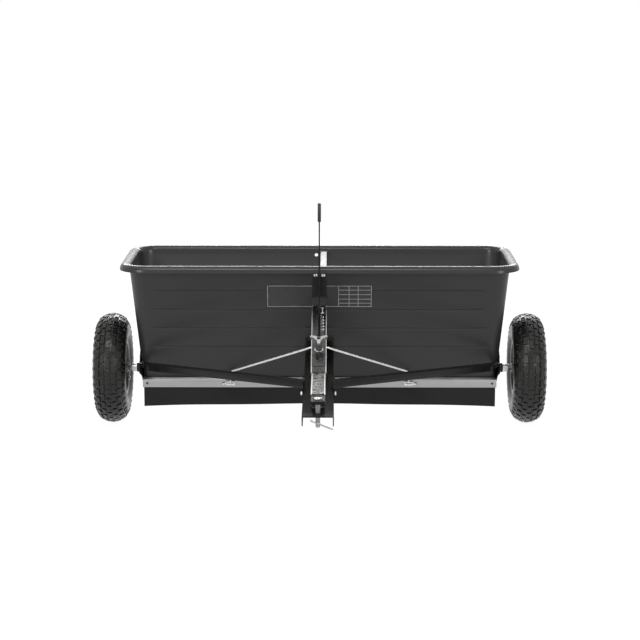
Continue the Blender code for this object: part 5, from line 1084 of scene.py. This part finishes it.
def make_knob():
    """Three arms round a hub; the hub's foot flares over the washer."""
    matrix = slope_matrix(0.0, STOP_AT, 0.0)
    levels = [knob_level(*level) for level in KNOB_LEVELS]
    low_bore, high_bore = (
        [(x, y, z) for x, y in circle(KNOB_BORE, KNOB_STEPS)] for z in (KNOB_LOW, KNOB_TOP)
    )
    bm = bmesh.new()
    rings = [[bm.verts.new(matrix @ Vector(p)) for p in ring] for ring in (low_bore, *levels, high_bore)]
    for lower, upper in zip(rings, rings[1:] + rings[:1]):
        bridge(bm, lower, upper)
    hub = lathe(round_corners(HUB_PROFILE, 0.0012) + [HUB_PROFILE[0]], (0, 0, 0), (0, 0, 1), SMALL_STEPS)
    hub.transform(matrix)
    bm.from_mesh(hub)
    knob = stand_in("stop_knob_moulded", "stop_knob", mesh_from(bm, "stop_knob"), FINISH["knob_grey"], 40)
    knob.data.materials.append(KNOB_FLANK_SHADE)
    knob.data.materials.append(KNOB_HUB_SHADE)
    # Painted light and shade: top faces keep the lighter grey, the arms' sides a darker copy, the hub under
    # the arms and the bore the darkest
    back = matrix.inverted()
    upward = matrix.to_3x3() @ Vector((0, 0, 1))
    for polygon in knob.data.polygons:
        place = back @ polygon.center
        off_axis = place.xy.length
        if off_axis < SHADED_HUB_REACH and place.z < KNOB_LOW or off_axis < KNOB_BORE + 0.0002:
            polygon.material_index = 2
        elif polygon.normal.dot(upward) < SHADED_FLANK_BELOW:
            polygon.material_index = 1


def flat_piece(name, quads, material, thickness):
    """Thin printed or stuck-on areas: each quad is four corners and is given a small thickness."""
    bm = bmesh.new()
    for corners in quads:
        normal = (corners[1] - corners[0]).cross(corners[3] - corners[0]).normalized() * thickness
        low = [bm.verts.new(c) for c in corners]
        high = [bm.verts.new(c + normal) for c in corners]
        bm.faces.new(low)
        bm.faces.new(high)
        bridge(bm, low, high)
    obj = link(bpy.data.objects.new(name, mesh_from(bm, name)))
    finish_piece(obj, "frame", material)


BAR_LEFT, BAR_RIGHT = 0.0052, 0.0136
TICK_LEFT, TICK_RIGHT, TICK_FIRST, TICK_PITCH, TICK_COUNT = 0.0045, 0.0075, 0.300, 0.0083, 11
NUMBER_X, NUMBER_FIRST, NUMBER_SIZE = 0.0120, 0.292, 0.0125


def scale_bars(face):
    """Corners of the printed bars and ticks on the slope."""
    spans = [
        (BAR_LEFT, BAR_RIGHT, 0.3475, 0.3425), (BAR_LEFT, BAR_RIGHT, 0.3190, 0.3140),
        (0.0080, 0.0108, 0.3430, 0.3185),
    ]
    for k in range(TICK_COUNT):
        s = TICK_FIRST - TICK_PITCH * k
        spans.append((TICK_LEFT, TICK_RIGHT, s, s - 0.0012))
    return [
        [slope_point(x0, s1, face), slope_point(x1, s1, face),
         slope_point(x1, s0, face), slope_point(x0, s0, face)]
        for x0, x1, s0, s1 in spans
    ]


def make_scale():
    """Printed rate marks beside the slot: a bar at the open end and the plain numbers 1 to 5."""
    ink = plain("scale_print", (0.80, 0.80, 0.78), 0.45)
    face = SCALE_FACE + 0.0001
    flat_piece("scale_marks", scale_bars(face), ink, 0.0001)
    for k in range(5):
        name = f"scale_number_{k + 1}"
        curve = bpy.data.curves.new(name, "FONT")
        curve.body = str(k + 1)
        curve.size = NUMBER_SIZE
        curve.offset = 0.0004
        curve.align_x = "CENTER"
        curve.align_y = "CENTER"
        curve.extrude = 0.00005
        curve.materials.append(ink)
        obj = link(bpy.data.objects.new(name, curve))
        obj.matrix_world = slope_matrix(NUMBER_X, NUMBER_FIRST - 2 * TICK_PITCH * k, face)
        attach(obj, "frame")


LABEL_MARGIN, LABEL_LINE, LABEL_FILM = 0.002, 0.0009, 0.0004
GRID_XS, GRID_ZS = (0.0561, 0.0871, 0.1139), (0.4385, 0.4242, 0.4098, 0.3970)


def panel(x0, x1, z0, z1, out):
    """Corners of an upright rectangle on the hopper's front wall."""
    return [wall_point(x, z, out) for x, z in ((x0, z0), (x1, z0), (x1, z1), (x0, z1))]


def make_label():
    """A bare panel on the front wall with a plain border and an empty grid at its right."""
    black = plain("label_film", (0.030, 0.030, 0.031), 0.42)
    white = plain("label_line", (0.66, 0.66, 0.66), 0.45)
    sheet = panel(-LABEL_HALF, LABEL_HALF, LABEL_LOW_Z, LABEL_HIGH_Z, LABEL_FILM)
    flat_piece("label_panel", [sheet], black, 0.0002)
    line, out = LABEL_LINE, LABEL_FILM + GAP
    right = LABEL_HALF - LABEL_MARGIN
    low, high = LABEL_LOW_Z + LABEL_MARGIN, LABEL_HIGH_Z - LABEL_MARGIN
    quads = [panel(-right, right, low, low + line, out), panel(-right, right, high - line, high, out)]
    for x in (-right, right - line, *GRID_XS):
        quads.append(panel(x, x + line, low + line, high - line, out))
    for z in GRID_ZS:
        quads.append(panel(GRID_XS[0] + line, right - line, z, z + line, out))
    flat_piece("label_lines", quads, white, 0.0001)


# Stage, light and camera

def seen_by(tree, *rays):
    """One for any of these kinds of ray, and zero for the rest."""
    path = tree.nodes.new("ShaderNodeLightPath")
    seen = path.outputs[rays[0]]
    for ray in rays[1:]:
        seen = math_node(tree, "MAXIMUM", seen, path.outputs[ray])
    return seen


def light_node(tree, kind, colour, strength=None):
    made = tree.nodes.new(kind)
    made.inputs["Color"].default_value = (*colour, 1.0)
    if strength is not None:
        made.inputs["Strength"].default_value = strength
    return made.outputs[0]


def mix_to_surface(tree, output, share, first, second):
    """Mixes two shaders by a share into a new output's surface."""
    mix = tree.nodes.new("ShaderNodeMixShader")
    for socket, value in zip(mix.inputs, (share, first, second)):
        tree.links.new(value, socket)
    tree.links.new(mix.outputs["Shader"], tree.nodes.new(output).inputs["Surface"])


def make_stage():
    """A floor that shows almost white and keeps the object's shadow."""
    bm = bmesh.new()
    bmesh.ops.create_grid(bm, x_segments=1, y_segments=1, size=30.0)
    floor = link(bpy.data.objects.new("floor", mesh_from(bm, "floor")))
    material = bpy.data.materials.new("pale_floor")
    material.use_nodes = True
    tree = material.node_tree
    tree.nodes.clear()
    paint = light_node(tree, "ShaderNodeBsdfDiffuse", (0.86, 0.86, 0.86))
    glow = light_node(tree, "ShaderNodeEmission", (1.0, 1.0, 1.0), 1.19)
    share = math_node(tree, "MULTIPLY", seen_by(tree, "Is Camera Ray", "Is Glossy Ray"), 0.80)
    mix_to_surface(tree, "ShaderNodeOutputMaterial", share, paint, glow)
    floor.data.materials.append(material)


def make_world():
    """White where it is seen, in a mirror or through glass too, and a dim dome as light."""
    world = bpy.data.worlds.new("studio")
    bpy.context.scene.world = world
    world.use_nodes = True
    tree = world.node_tree
    tree.nodes.clear()
    backdrop = light_node(tree, "ShaderNodeBackground", (1.0, 1.0, 1.0), 1.0)
    dome = light_node(tree, "ShaderNodeBackground", (0.95, 0.97, 1.0), 0.30)
    seen = seen_by(tree, "Is Camera Ray", "Is Transmission Ray", "Is Glossy Ray")
    mix_to_surface(tree, "ShaderNodeOutputWorld", seen, dome, backdrop)


def add_lamp(name, at, target, size, power, width=None):
    lamp = bpy.data.lights.new(name, "AREA")
    lamp.energy = power
    lamp.shape = "RECTANGLE"
    lamp.size = size
    lamp.size_y = width or size
    obj = link(bpy.data.objects.new(name, lamp))
    obj.location = at
    obj.rotation_euler = (Vector(target) - Vector(at)).to_track_quat("-Z", "Y").to_euler()


def make_lights():
    add_lamp("top_softbox", (-0.4, -1.1, 2.8), (0.0, 0.3, 0.3), 1.8, 25.0, 0.45)
    add_lamp("rim_softbox", (0.0, 4.2, 2.0), (0.0, 0.3, 0.4), 4.0, 80.0, 0.4)
    add_lamp("front_left_softbox", (-2.6, -3.2, 2.0), (0.0, 0.2, 0.3), 1.2, 40.0)
    add_lamp("front_right_softbox", (2.8, -3.0, 1.6), (0.0, 0.2, 0.3), 1.2, 30.0)


CAMERA_AT = (0.0332, AXLE_Y - 5.6, 1.4299)
CAMERA_PITCH, CAMERA_YAW, CAMERA_LENS = 0.1964, -0.0058, 105.4


def make_camera():
    camera = bpy.data.cameras.new("camera")
    camera.lens = CAMERA_LENS
    camera.sensor_width = 36.0
    camera.clip_end = 60.0
    obj = link(bpy.data.objects.new("camera", camera))
    obj.location = CAMERA_AT
    level = cos(CAMERA_PITCH)
    ahead = Vector((sin(CAMERA_YAW) * level, cos(CAMERA_YAW) * level, -sin(CAMERA_PITCH)))
    obj.rotation_euler = ahead.to_track_quat("-Z", "Y").to_euler()
    bpy.context.scene.camera = obj


bpy.context.scene.view_settings.view_transform = "Standard"
make_stage()
make_world()
make_lights()
make_camera()
make_hopper()
for wheel_side in (-1, 1):
    make_tyre(wheel_side)
    make_rim(wheel_side)
    make_bearing(wheel_side)
    make_sleeve(wheel_side, "axle_spacer", "turned", SPACER_RADIUS, SPACER_EDGE)
    make_sleeve(wheel_side, "end_washer", "plain", HUB_RADIUS, 0.0003)
    make_hub_bushes(wheel_side)
    make_valve(wheel_side)
make_hairpins()
make_rod()
make_edged_pieces()
make_skirt()
make_knob()
make_scale()
make_label()
